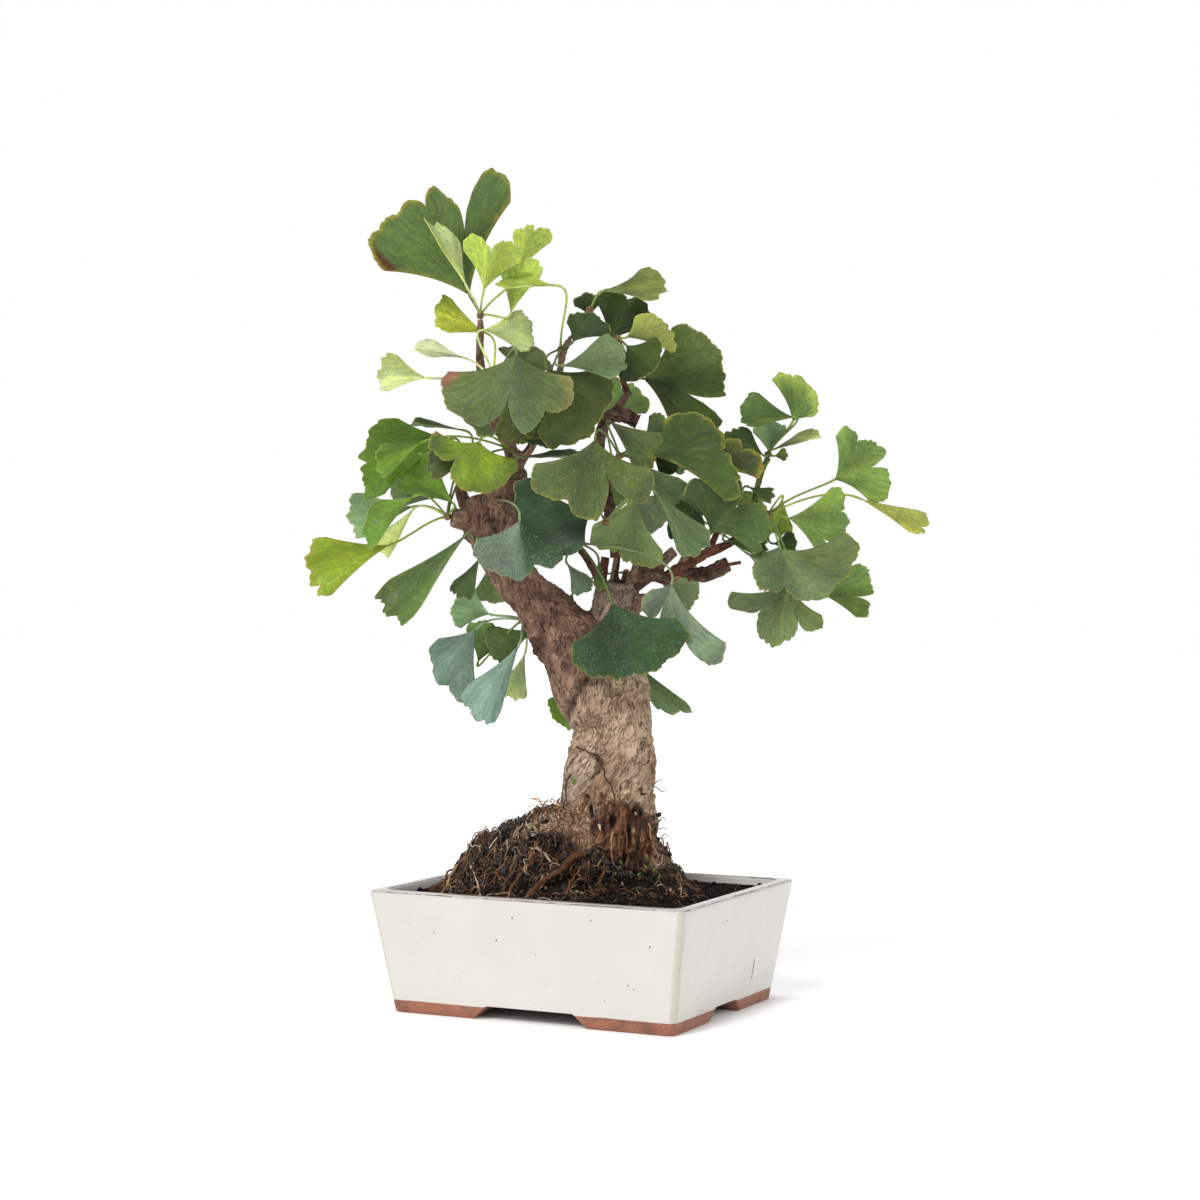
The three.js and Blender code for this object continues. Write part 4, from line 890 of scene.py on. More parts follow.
def trunk():
    """All the thick wood, with its relief and colours. Gives its points in the tree's millimetres."""
    thick = [(BUTT, 48), *((root, 24) for root in ROOTS), *((limb, 40) for limb in LIMBS), (BURL, 24)]
    thick += [(stations, 20) for _, stations in BRANCHES if stations[0][3] >= THICK] + [(knob, 16) for knob in KNOBS]
    mesh = joined_wood(thick)
    points = points_of(mesh)
    normals = points_of(mesh, "normal")
    near = nearest_stem(points, thick)
    off = points - near[:, :3]
    radius, arc, which = near[:, 12:].T
    along = arc + (off * near[:, 3:6]).sum(1)
    root, burl = (which >= 1) & (which <= 5), which == 8
    foot = (which == 0) | root
    # the grain slants up to the right as the trunk is seen
    grain = np.column_stack([(off * near[:, 6:9]).sum(1) - 0.35 * along * ~root, (off * near[:, 9:12]).sum(1), along])
    grain = grain + which[:, None] * 37.0
    u, v, z = points.T
    front = smooth(6, -6, v)

    def blotch(size, seed, octaves=2):
        return fractal(points / size, octaves, seed)

    # wavy fissures that run along the stem, shallow folds across it, and broad lumps
    warp = blotch(14, 11)[:, None] * vec(2.4, 2.4, 1.5)
    lines = np.abs(fractal((grain + warp) / vec(3.4, 3.4, 15), 2, 21))
    fine = np.abs(noise((grain + warp) / vec(1.7, 1.7, 7), 31))
    crack = smooth(0.26, 0.0, lines) * 0.9 + smooth(0.2, 0.0, fine) * 0.2
    folds = fractal((grain + warp * 1.4) / vec(15, 15, 2.6), 2, 41)
    deep = smooth(4, 20, radius)
    rise = blotch(17, 51) * (0.5 + 1.3 * deep) + folds * (0.14 + 0.5 * deep) - crack * (0.15 + 0.9 * deep)
    rise *= np.where(burl, 0.45, 1.0)
    low = smooth(122, 96, z) * foot
    rise += low * blotch(5.5, 71) * 1.2 + root * smooth(-30, -44, u) * blotch(3.4, 72) * 1.6
    # the rotten patch: strands of bare reddish wood between dark clefts, under an arched edge of bark
    ragged = 0.14 * blotch(5, 62)
    reach = np.hypot((u - 22) / 18, (z - 99) / 23) + ragged
    rot = smooth(1.12, 0.92, reach) * front
    strand = blotch(vec(1.7, 1.7, 11), 61)
    rise += rot * (strand * 1.5 - 0.7) + smooth(0.16, 0.0, np.abs(reach - 1.14)) * front * smooth(98, 108, z) * 1.3
    pit = np.zeros(len(points))
    for at_u, at_z, wide, high in PITS:
        from_pit = np.hypot((u - at_u) / wide, (z - at_z) / high)
        pit = np.maximum(pit, smooth(1.25, 0.55, from_pit + 2 * ragged) * front)
    # cut ends: a dark dished middle in a paler ring
    cut = np.zeros(len(points))
    for stations in [LIMBS[1], *(b for _, b in BRANCHES if b[0][3] >= THICK)]:
        end, before = vec(*stations[-1][:3]), vec(*stations[-2][:3])
        ahead = unit(end - before)
        gone = (points - end) @ ahead
        beside = np.linalg.norm(points - end - gone[:, None] * ahead, axis=1) / stations[-1][3]
        cut = np.maximum(cut, smooth(-1.0, -0.2, gone) * smooth(1.25, 1.05, beside) * np.where(beside < 0.55, 1.0, 0.4))
    rise -= 3.4 * pit + 1.2 * smooth(0.5, 0.9, cut)
    seam = smooth(3.6, 0.6, np.abs(u - np.interp(z, *LIMB_CREASE) + 1.4 * blotch(6, 89)))
    seam = seam * front * smooth(154, 164, z) * smooth(204, 192, z)
    rise -= 2.2 * seam
    fold = smooth(2.2, 0.4, np.abs(u - np.interp(z, *BURL_CREASE) + 0.8 * blotch(5, 91)))
    fold = fold * front * smooth(127, 132, z) * smooth(153, 148, z)
    rise -= 1.6 * fold
    moved = points + normals * np.clip(rise, -3.4, 1.9)[:, None]
    mesh.vertices.foreach_set("co", to_row(moved).ravel())

    tan = between((204, 177, 151), (178, 150, 126), smooth(-0.3, 0.5, blotch(11, 81)))
    upper = between((162, 130, 110), (130, 101, 86), smooth(-0.3, 0.4, blotch(9, 82)))
    tone = mix(tan, upper, smooth(174, 198, z - 1.1 * u * front + 9 * blotch(14, 83)))
    fibres = between((84, 54, 42), (152, 104, 78), smooth(-0.5, 0.5, strand))
    fibres = mix(fibres, colour(188, 150, 116), smooth(0.45, 0.8, blotch(vec(1.4, 1.4, 8), 63)))
    fibres = mix(fibres, colour(74, 48, 38), smooth(0.1, 0.6, blotch(9, 64)))
    golden = smooth(1.3, 0.7, np.hypot((u - 9) / 12, (z - 126) / 8) + ragged) * front
    block = smooth(-38, -32, u) * smooth(-8, -15, u) * smooth(94, 99, z) * root
    earthy = smooth(-34, -46, u + 8 * blotch(6, 86)) * root
    patches = smooth(0.12, 0.42, blotch(8, 85, 3)) * smooth(120, 92, z)
    flank = smooth(-2, -12, u) * smooth(108, 116, z) * smooth(160, 150, z) * smooth(0.0, 0.4, blotch(4, 88))
    knob = smooth(1.3, 0.8, np.hypot((u + 28) / 5, (z - 211) / 5)) * front
    sunk = smooth(2.5, -2.5, z - np.interp(u, *SOIL_LINE) + 5 * blotch(5, 93)) * front * foot
    # layers of colour from the lowest up, and how much each covers
    for paint, share in (
        (colour(192, 166, 148), (which == 7) * smooth(200, 222, z) * 0.8),
        # painted shade in the crease where the limb's bulge folds over the butt
        (colour(66, 46, 37), seam * 0.7),
        (between((158, 122, 90), (92, 64, 46), smooth(-0.1, 0.4, blotch(2.6, 92))), golden * 0.65),
        # painted shade in the fold beside the burl
        (colour(72, 50, 38), fold * 0.75),
        (colour(150, 112, 88), low * 0.6),
        (colour(216, 194, 170), np.where(burl, 0.85, 0) * smooth(118, 126, z)),
        (colour(206, 182, 154), smooth(0.1, 0.0, np.abs(reach - 1.16)) * front * smooth(100, 112, z) * 0.8),
        (colour(150, 104, 78), root * smooth(-0.2, 0.6, blotch(6, 84)) * 0.7),
        (colour(208, 184, 158), block * 0.85),
        (between((44, 33, 27), (96, 70, 52), smooth(0.0, 0.6, blotch(3, 87))), earthy * 0.92),
        (fibres, rot * 0.92),
        (colour(74, 48, 36), np.clip(crack, 0, 1) * 0.48 * (1 - 0.5 * rot)),
        (colour(62, 41, 31), patches * 0.7 * foot * (1 - block)),
        (colour(78, 54, 42), flank * 0.75),
        (colour(70, 46, 36), knob * 0.8),
        (colour(128, 76, 52), smooth(0.05, 0.4, pit) * rot * 0.6),
        # painted shade: the holes and clefts are painted near black
        (colour(24, 16, 13), smooth(0.4, 0.85, pit) * 0.96),
        (colour(172, 142, 118), smooth(0.15, 0.4, cut) * 0.7),
        (colour(58, 40, 32), smooth(0.6, 0.95, cut) * 0.9),
        (colour(34, 26, 22), smooth(88, 74, z) * 0.75),
        (between((32, 25, 23), (72, 54, 44), smooth(0.1, 0.7, blotch(2, 94))), sunk * 0.94),
    ):
        tone = mix(tone, paint, share)
    put(mesh, "tone", tone)
    put(mesh, "grain", grain)
    finish_piece(mesh, bark_look(), ["trunk"])
    return moved


def twigs():
    """Thin branches with nodes and swellings, and dark cut ends."""
    made = Mesh("twigs", tone=3, grain=3)
    rng = np.random.default_rng(5)
    for number, (skin, stations) in enumerate(BRANCHES):
        if stations[0][3] >= THICK:
            continue
        centres, tangents, radii = stem_line(stations, 9)
        arc = arc_of(centres)
        knobs = 1 + 0.16 * np.maximum(0, np.sin(arc / rng.uniform(1.6, 2.4) + number)) ** 6
        rings = swept(centres, tangents, radii * knobs, TWIG_SIDES)
        rough = 1 + 0.09 * fractal(rings / 1.9 + number * 9, 2, number)
        points, faces = capped(centres[:, None] + (rings - centres[:, None]) * rough[..., None])
        angle = np.tile(np.linspace(0, 2 * math.pi, TWIG_SIDES, endpoint=False), len(arc))
        grain = np.column_stack([np.cos(angle) * 2, np.sin(angle) * 2, np.repeat(arc, TWIG_SIDES)])
        grain = np.concatenate([grain, grain[:1], grain[-1:]]) + number * 23
        u, _, z = points.T
        base = colour(*SKINS[skin])
        tone = mix(base, base * 0.5, smooth(-0.2, 0.5, fractal(points / 4, 2, 90)))
        tone = mix(tone, colour(198, 168, 158), smooth(-40, -46, u) * smooth(320, 326, z) * smooth(342, 336, z))
        along = np.concatenate([np.repeat(arc, TWIG_SIDES), [0, arc[-1]]])
        tone = mix(tone, colour(60, 42, 34), smooth(arc[-1] - 1.2, arc[-1] - 0.2, along) * 0.8)
        made.add(points, faces, tone=tone, grain=grain)
    made.build(bark_look("twig_skin"))


# ---------------------------------------------------------------- leaves
TONES = {
    "deep": (58, 82, 54), "dark": (66, 86, 44), "moss": (80, 96, 52), "mid": (76, 98, 56), "green": (92, 116, 66),
    "bright": (86, 120, 40), "spring": (114, 152, 60), "fresh": (116, 146, 78), "olive": (92, 112, 56),
    "straw": (158, 168, 90), "lime": (178, 202, 96), "pale": (206, 226, 158), "ghost": (216, 230, 184),
    "acid": (136, 164, 52), "yellow": (200, 214, 86), "fern": (92, 108, 64), "grey": (106, 126, 86),
    "teal": (98, 120, 94), "blue": (118, 138, 116), "silver": (134, 162, 144), "mint": (132, 164, 118),
    "brown": (86, 56, 38), "rose": (140, 98, 82), "dun": (138, 138, 100), "sage": (124, 144, 88),
}
# A row: the looks of the leaf, then u, v, z, aim, nod, size, fan, roll, cup, bend, cuts and skew as in part.mjs.
# Looks: its tone; L, R, T, B: a second tone on its left or right side, its outer part or its base, small
# letters only at the very corner; o rust specks, w whitish stains, y yellow fringe, from 1 to 9.
SPRAYS = [
    ("spray_crown", "young_leaf", [-61, -1, 403], [
        ("green y4 o3 l:brown", -67, -5, 414, -25, 8, 71, 99, 0, 8, 8, [[0.43, 0.5, 0.28], [-0.02, 0.2, 0.5]], 0.09),
        ("pale", -68, -28, 418, -24, 3, 38, 56, 55, 20, 5, [], -0.25),
        ("lime", -58, -20, 415.5, 14, 10, 33, 82, 0, 15, 0, [[-0.08, 0.4, 0.42]]),
        ("lime", -38, -5, 428, 17, 0, 28, 60, 20, 10, 5, [[0.1, 0.12, 0.2]], 0.15),
        ("lime", -43, -8, 403, 11, 3, 35, 58, 10, 20, 0, [[0.08, 0.1, 0.12]]),
    ]),
    ("spray_shoulder", "young_leaf", [-52, -14, 363], [
        ("yellow", -59, 8, 394, -70, 0, 31, 58, 25, 15, 5, [], 0.15),
        ("pale", -59, -7, 394, 90, 0, 29, 66, -10, 12, 5, [], 0.1),
        ("ghost", -71, -8, 378, -78, 5, 29, 90, 70, 10, 5, []),
        ("pale y3", -92, -10, 366, -82, 0, 28, 62, 15, 15, 5, []),
        ("grey R:fern r:rose l:dun w3", -38.5, -45, 377, 184, 12, 46, 145, 0, -8, 12,
         [[0.08, 0.56, 0.2], [-0.42, 0.2, 0.14]], 0.12),
        ("fern o2 y2", -38, -20, 361, 180, 4, 33, 60, 0, 0, 8, []),
    ]),
    ("spray_leader", "bluish_leaf", [-14, -2, 383], [
        ("lime", -17, -32, 417, -88, 0, 33, 110, 72, 12, 8, []),
        ("mid", -7, -12, 386.5, 32, 5, 20, 100, 0, 10, 5, [], 0.25),
        ("grey w4", -12, -34, 371, 80, 0, 36, 76, -42, 10, 8, []),
        ("moss o5 y2", -21.5, -28, 370, 146, 12, 45, 112, 0, -6, 12, [[0.78, 0.35]], 0.14),
        ("deep", -24, -5, 353, 176, 2, 27, 62, 0, 5, 5, []),
    ]),
    ("spray_leader_tip", "fresh_leaf", [3, 0, 406.5], [
        ("sage T:straw", 11, -5, 417, 86, 0, 37, 82, -58, 12, 5, []),
        ("dark o4 y1", 14, 8, 389, 28, 0, 31, 95, 0, 10, 5, [[-0.1, 0.12]]),
        ("dark o3", 3, 15, 404, -8, 0, 14, 100, 0, 10, 5, []),
    ]),
    ("spray_right_leader", "dark_leaf", [19, -9, 389], [
        ("straw B:olive", 24, -14, 389, 66, 4, 24, 88, 0, 10, 5, [[0.3, 0.1, 0.16]], 0.38),
        ("dark", 24, -18, 384, 135, 8, 21.5, 126, 0, -10, 10, []),
        ("dark o5 y2 L:olive", 34, -3, 366, 93, 2, 49, 128, 0, 8, 6, [[0.26, 0.62, 0.13], [0.66, 0.45, 0.14]], 0.14),
    ]),
    ("spray_inner", "dark_leaf", [20, -9, 321], [
        ("dark y3 o3", 39, -26, 320, 70, 8, 43, 105, 0, 10, 5, [[0.3, 0.22, 0.35]], 0.4),
        ("grey", 31, -12, 317, 132, 2, 34, 60, 45, 15, 8, []),
        ("moss w4 o3 y2 T:fern", 6, -52, 328, 183, 12, 45, 132, 0, -8, 12, [[0.35, 0.17], [-0.33, 0.56]]),
        ("grey y3 o3", 14, -12, 341, 128, 0, 36, 50, 0, 8, 5, []),
        ("dark", 38, 3, 325, 128, 0, 20, 64, 0, -10, 5, []),
    ]),
    ("spray_left_leader", "fresh_leaf", [-43, -10.5, 324.4], [
        ("acid T:olive y3", -60, -32, 328, 199, 6, 30, 172, 0, -8, 8, [[0.4, 0.52, 0.35]], 0.05),
        ("moss", -64, -22, 319, -100, 0, 27, 50, 20, 10, 5, []),
        ("spring", -94, -19, 328, -116, 5, 29, 52, 10, 30, 5, [], -0.12),
        ("teal w3", -37, -24, 319.5, 88, 3, 35, 80, -78, 10, 5, []),
    ]),
    ("spray_heart", "bluish_leaf", [12, -13, 282], [
        ("deep w3", 4, -30, 288, -115, 5, 38, 110, 10, 10, 8, [], 0.32),
        ("sage y3 w2", 28.5, -14.5, 297, 194, 0, 40, 84, 0, -6, 3, [[0.05, 0.22, 0.55]], -0.12),
        ("grey w2", 41, -23, 299, 142, 6, 43, 42, 10, 32, 5, []),
        ("dark", 40, -2, 301, 132, 0, 26, 50, 20, 10, 5, []),
        ("deep", 50, 11, 304, 158, 0, 32, 52, 0, -5, 5, []),
    ]),
    ("spray_left", "fresh_leaf", [-80, -3.6, 285.7], [
        ("bright", -78, -6, 331, -100, 6, 53, 62, 10, 8, 8, [[-0.2, 0.14, 0.12]], -0.2),
        ("olive", -72, 12, 337, -80, 0, 30, 60, 78, 10, 5, []),
        ("spring", -76, -10, 293, -50, 0, 35, 60, 0, 15, 5, []),
        ("mint", -101, 14, 292, -100, 0, 39, 52, 10, 10, 5, []),
        ("spring", -98, -22, 297, -120, 5, 34, 50, 20, 15, 12, [], -0.28),
        ("pale", -100, -4, 290, -140, 0, 32, 45, 40, 15, 8, []),
        ("acid y4 o3", -113, -15, 269, -107, 5, 49.5, 50, 0, 14, 8, [[-0.55, 0.14, 0.14]], -0.08),
    ]),
    ("spray_limb_side", "dark_leaf", [-64, -9, 271], [
        ("green", -68, -24, 275, -135, 5, 64, 33, 10, 30, 6, []),
        ("mid", -60, -24, 262, -152, 8, 26.5, 40, 10, 10, 5, []),
    ]),
    ("spray_limb_front", "bluish_leaf", [-51, -12.6, 295], [
        ("blue w7 L:deep", -36.7, -42, 283, 185, 10, 34, 125, 0, -8, 12, [[-0.37, 0.25]]),
    ]),
    ("spray_under_limb", "bluish_leaf", [-36.6, 15.6, 225], [
        ("silver w6", -64, 22, 220, -142, 0, 39, 78, 0, 15, 8, [[-0.3, 0.08, 0.15]], -0.25),
        ("silver w7", -39, 2, 210, -149, 0, 50, 60, 45, 15, 8, [[-0.5, 0.1, 0.2], [0.3, 0.1, 0.2]]),
        ("fresh", -64, 30, 199.5, 18, 0, 25, 80, 180, 15, 5, []),
        ("mint", -56, 12, 228.5, -73, 0, 23, 90, 10, 15, 5, []),
        ("dark", -38, 25, 230, 150, 0, 17, 54, 0, 15, 5, []),
        ("pale", -36, 36, 205, -162, 0, 29, 46, 20, 10, 5, []),
        ("green", -30, 20, 219, -112, 0, 30, 56, 0, 10, 5, []),
    ]),
    ("spray_behind_trunk", "dark_leaf", [12, 29.4, 204.4], [
        ("spring", -3, 32, 178, -130, 0, 20, 90, 10, 10, 5, []),
        ("mint", 30.5, 28, 199, 143, 0, 38, 38, 20, 20, 5, [], -0.25),
    ]),
    ("spray_fork", "dark_leaf", [-4, -14, 270], [
        ("deep w4 y2", 15.8, -38, 236, 164, 6, 46, 122, 0, -8, 6, [[-0.02, 0.14]], -0.08),
        ("blue o3 y2", 50, -26, 247, 196, 8, 38, 116, 0, 12, 8, [[-0.45, 0.6, 0.25], [0.1, 0.62, 0.5]], -0.6),
        ("teal", -10, -24, 258, 140, 5, 20, 70, 40, 20, 5, []),
        ("green", 8, -22, 261, 175, 0, 18, 60, 60, 10, 5, []),
    ]),
    ("spray_right_low", "dark_leaf", [90, -6, 283], [
        ("mid y2 w1", 72, -22, 277, 40, 6, 34, 156, 0, 10, 6, [[0.1, 0.5, 0.2], [0.82, 0.16, 0.12]], 0.08),
        ("green", 95, -8, 303, 116, 0, 16, 60, -40, 15, 5, []),
        ("mid", 81, -12, 271.5, 99, 0, 25, 36, 5, 10, 5, []),
    ]),
    ("spray_right_top", "fresh_leaf", [107, 0, 322], [
        ("fresh T:lime", 121, -4, 341, 25, 0, 24, 107, 0, 12, 5, [[-0.5, 0.14, 0.14]], -0.38),
        ("green", 121, -12, 343, -84, 0, 31, 64, 28, 25, 5, []),
        ("mint", 108, 5, 323, 0, 0, 19, 80, 0, 10, 5, []),
        ("sage T:pale", 110, 3, 325, 70, 0, 29, 70, -72, 10, 5, []),
        ("mid", 104, -8, 321, -58, 5, 26, 62, 0, 10, 6, [[0.1, 0.1, 0.2]], -0.25),
        ("olive", 110, -5, 321, 85, 0, 8, 80, -20, 10, 5, []),
    ]),
    ("spray_right_end", "fresh_leaf", [106.6, -3.8, 286.6], [
        ("fresh", 145, -8, 307, 62, 5, 33, 124, 0, 12, 6, [[0.16, 0.4, 0.14], [-0.52, 0.22, 0.3]]),
        ("straw", 159, -14, 296, 113, 5, 42, 27, -10, 28, 6, []),
        ("fresh", 117, -22, 284.5, 98, 5, 35, 88, 0, 10, 6, [[-0.35, 0.16, 0.3], [0.54, 0.36, 0.2]], -0.05),
        ("grey y2", 112, -30, 267, 161, 8, 34, 170, 0, 8, 8, [[0.16, 0.3, 0.4]], -0.42),
        ("grey o3 w2", 118, -16, 247, 198, 5, 38, 128, 0, -8, 8, [[-0.5, 0.4, 0.36], [0.45, 0.42, 0.5]], 0.08),
        ("fresh", 136, -6, 241, 86, 0, 32, 76, 0, 15, 6, [[0.25, 0.38, 0.15]]),
        ("dark", 110, 2, 270, 88, 0, 14, 80, -20, 10, 5, []),
        ("moss y4 o4", 78, -18, 311, 36, 5, 22, 130, 0, 10, 6, [[0.14, 0.24, 0.16]], 0.26),
        ("lime", 116, 6, 297, 190, 0, 22, 60, 10, 10, 5, []),
    ]),
    ("spray_back_left", "dark_leaf", [-71, 31.5, 274.7], [
        ("mid", -84, 42, 298, -68, -25, 36, 70, 200, 12, 8, []),
        ("green w2", -56, 50, 264, 160, -42, 36, 90, 165, 12, 10, [[0.1, 0.3]]),
        ("grey", -42, 48, 284, 176, -30, 32, 76, 190, 12, 8, []),
    ]),
    ("spray_back_crown", "dark_leaf", [-40, 29, 349.5], [
        ("mid y2", -48, 44, 368, -165, -28, 40, 110, 190, 10, 10, [[0.1, 0.3]]),
        ("green", -12, 48, 366, 182, -42, 38, 100, 168, 10, 10, []),
        ("fern", -40, 40, 372, 20, -50, 30, 90, 180, 12, 6, []),
    ]),
    ("spray_back_middle", "fresh_leaf", [16.3, 31.3, 317.3], [
        ("green", 6, 48, 326, -172, -25, 38, 110, 195, 10, 10, [[-0.1, 0.3]]),
        ("mid w2", 32, 46, 326, 72, -40, 38, 85, 165, 12, 8, []),
        ("grey", 32, 54, 300, 150, -50, 34, 95, 170, 12, 10, []),
        ("fresh y2", 14, 46, 344, 20, -32, 34, 95, 190, 12, 6, [[0, 0.25]]),
    ]),
    ("spray_back_right", "fresh_leaf", [78.5, 27.3, 277], [
        ("fresh", 88, 40, 284, 75, -35, 28, 100, 170, 12, 8, []),
        ("mid", 70, 46, 286, -15, -50, 28, 90, 190, 12, 8, []),
        ("grey w3", 98, 38, 264, 118, -28, 42, 80, 150, 12, 10, [[0.1, 0.25]]),
    ]),
    ("spray_back_low", "bluish_leaf", [24.3, 35.4, 253], [
        ("teal w3", 20, 50, 238, 182, -30, 40, 105, 175, 10, 10, [[0, 0.3]]),
        ("dark", -8, 62, 240, -160, -45, 34, 85, 200, 12, 10, []),
        ("grey y2", 44, 50, 250, 110, -40, 34, 90, 165, 12, 8, []),
    ]),
]
CUT_WIDTH = 0.26
BLADE_START = 0.03
# each look's roughness, and how much blue its lighter rays keep
LEAF_LOOKS = {"dark_leaf": (0.36, 0.8), "bluish_leaf": (0.4, 0.98), "fresh_leaf": (0.42, 0.8),
              "young_leaf": (0.46, 0.8)}
# tones that vary towards grey, not towards yellow
COOL = ("silver", "blue", "teal", "mint", "deep")
PETIOLE_SIDES = 10


def spots(*axes):
    """Places for noise, from arrays and plain numbers."""
    return np.stack(np.broadcast_arrays(*axes), -1)


class Leaf:
    """One blade with its petiole, from its row. Millimetres, tree frame.

    A place on it is given by its part of the fan's half angle, from -1 to 1, and its share of the way to the margin.
    """

    def __init__(self, row, spur):
        looks, u, v, z, aim, nod, self.size, fan, roll, cup, bend, cuts, *rest = row
        self.skew = rest[0] if rest else 0
        self.cuts = [(at, depth, width[0] if width else CUT_WIDTH) for at, depth, *width in cuts]
        self.looks = looks.split()
        self.base, self.spur = vec(u, v, z), vec(*spur)
        aim, nod, self.fan, roll, self.cup, self.bend = (math.radians(a) for a in (aim, nod, fan, roll, cup, bend))
        self.along = vec(math.sin(aim) * math.cos(nod), -math.sin(nod), math.cos(aim) * math.cos(nod))
        face = unit(vec(0, -1, 0) - self.along * -self.along[1])
        self.face = face * math.cos(roll) + np.cross(self.along, face) * math.sin(roll)
        self.across = np.cross(self.along, self.face)
        self.seed = int(abs(u * 7 + v * 13 + z * 31)) % 200

    def margin(self, place):
        """The margin's distance from the base, as a part of the leaf's size."""
        corner = np.maximum(0, np.abs(place) - 0.78) / 0.22
        reach = 1 - 0.06 * place**2 - 0.14 * corner**2
        reach = reach + 0.025 * np.sin(9 * place + self.size) + 0.015 * np.sin(23 * place + self.fan * 7)
        for at, depth, width in self.cuts:
            reach = reach - depth * (1 - np.minimum(1, np.abs(place - at) / width) ** 0.5)
        return reach * (1 + self.skew * place)

    def teeth(self, place):
        """The scalloped margin: rounded lobes a few millimetres wide, with sharp uneven notches between them."""
        arc = place * self.size * self.fan / 2
        lobes = np.abs(np.sin(math.pi * (arc / 4.6 + 0.7 * noise(spots(arc / 7.0, self.seed, 0), 3) + self.seed)))
        deep = 0.5 + 1.3 * smooth(-0.3, 0.6, noise(spots(arc / 12.0, self.seed, 5), 4))
        return ((lobes**0.6 - 0.75) * deep + noise(spots(arc / 1.3, self.seed, 9), 5) * 0.35) / self.size

    def surface(self, place, share):
        """The blade's middle surface, with the angle, distance from the base and distance to the margin there."""
        angle = place * self.fan / 2 * (0.62 + 0.38 * share**0.8)
        reach = self.margin(place) + self.teeth(place) * share**3
        distance = self.size * reach * share
        out, sideways = distance * np.cos(angle), distance * np.sin(angle)
        valley = 0.12 * self.size
        lift = math.sin(self.cup) * (np.hypot(sideways, valley) - valley)
        lift = lift + 0.035 * self.size * share**3 * np.sin(5.2 * place + self.size)
        lift = lift + 0.9 * share * noise(spots(out / 10, sideways / 10, self.seed), 5)
        lift = lift + 0.6 * share**3 * noise(spots(place * 5, 0, self.seed + 3.5), 7)
        lift = lift + 0.07 * share**2 * np.sin(angle * 34)
        turn = self.bend * out / self.size + 1e-6
        radius = out / turn
        points = self.base + self.along * ((radius + lift) * np.sin(turn))[..., None]
        points = points + self.face * (-radius * (1 - np.cos(turn)) + lift * np.cos(turn))[..., None]
        points = points + self.across * (sideways * math.cos(self.cup))[..., None]
        past = distance / np.maximum(share, 0.01) * (1 - share)
        edge = np.minimum(past, 1.2 + distance * (1 - np.abs(place)) * self.fan / 2)
        return points, np.stack([place * self.fan / 2, distance, edge], -1)

    def tones(self, place, share):
        """The blade's colour, and its rust, white and fringe."""
        tone = leafy(*TONES[self.looks[0]]) * (0.92 + 0.16 * ((self.seed * 7) % 10) / 10)
        tone = np.broadcast_to(tone, (*place.shape, 3))
        marks = {"o": 0.0, "w": 0.0, "y": 0.0}

        def at(size, shift):
            return spots(place * size, share * size * 0.6, self.seed + shift)

        wobble = 0.16 * fractal(at(3.0, 0), 3, 6)
        for look in self.looks[1:]:
            if ":" not in look:
                marks[look[0]] = int(look[1]) / 9
                continue
            where, name = look.split(":")
            reach = {"L": -place * 0.5 + 0.5, "R": place * 0.5 + 0.5, "T": share, "B": 1 - share}[where.upper()]
            reach = reach + wobble
            low, high = (0.4, 0.85) if where in "LR" else (0.45, 1.05)
            if where.islower():
                reach, low, high = reach * share, 0.76, 0.92
            tone = mix(tone, leafy(*TONES[name]), smooth(low, high, reach))
        # the blade pales towards its base, where the veins crowd together, and one side is often yellower
        tone = mix(tone, tone * vec(1.24, 1.2, 1.2) + 0.008, smooth(0.4, 0.0, share))
        warmer = vec(1.14, 1.14, 1.14) if self.looks[0] in COOL else vec(1.24, 1.13, 0.74)
        tone = mix(tone, tone * warmer, smooth(0.0, 0.7, noise(at(1.1, 40), 8)) * 0.7)
        tone = mix(tone, tone * vec(0.72, 0.78, 0.8), smooth(0.0, 0.7, noise(at(1.3, 60), 9)) * 0.75)
        return tone, np.broadcast_to(vec(marks["o"], marks["w"], marks["y"]), tone.shape)

    def places(self):
        """Where its rows of points run: evenly over the fan, and closer together in the cuts."""
        found = list(np.linspace(-1, 1, int(np.clip(self.size * self.fan / 1.25, 20, 84))))
        for at, _, width in self.cuts:
            found += [at + width * k for k in (-0.7, -0.35, -0.15, -0.04, 0, 0.04, 0.15, 0.35, 0.7)]
        found = sorted(p for p in found if -1 <= p <= 1)
        return np.array([p for i, p in enumerate(found) if i == 0 or p - found[i - 1] > 0.006])

    def add_to(self, made):
        rows = int(np.clip(self.size / 1.7, 9, 26))
        shares = BLADE_START + (1 - BLADE_START) * np.linspace(0, 1, rows) ** 0.92
        share, place = np.meshgrid(shares, self.places(), indexing="ij")
        points, blade = self.surface(place, share)
        tone, marks = self.tones(place, share)
        normal = unit(np.cross(np.gradient(points, axis=1), np.gradient(points, axis=0)))
        half = (0.24 - 0.12 * smooth(0.8, 1.0, share) + 0.3 * smooth(0.14, 0.03, share))[..., None]
        index = np.arange(place.size).reshape(place.shape)
        a, b, c, d = index[:-1, :-1], index[:-1, 1:], index[1:, 1:], index[1:, :-1]
        front = np.stack([a, b, c, d], -1).reshape(-1, 4)
        rim = np.concatenate([index[:, 0], index[-1, 1:], index[-2::-1, -1], index[0, -2:0:-1]])
        after = np.roll(rim, -1)
        edge = np.stack([rim, after, after + place.size, rim + place.size], -1)

        def both(upper, under):
            return np.concatenate([upper.reshape(-1, 3), under.reshape(-1, 3)])

        made.add(both(points + normal * half, points - normal * half),
                 np.concatenate([front, front[:, ::-1] + place.size, edge]),
                 blade=both(blade, blade), tone=both(tone, tone * 1.3 + 0.02), marks=both(marks, marks))
        self.add_petiole(made)

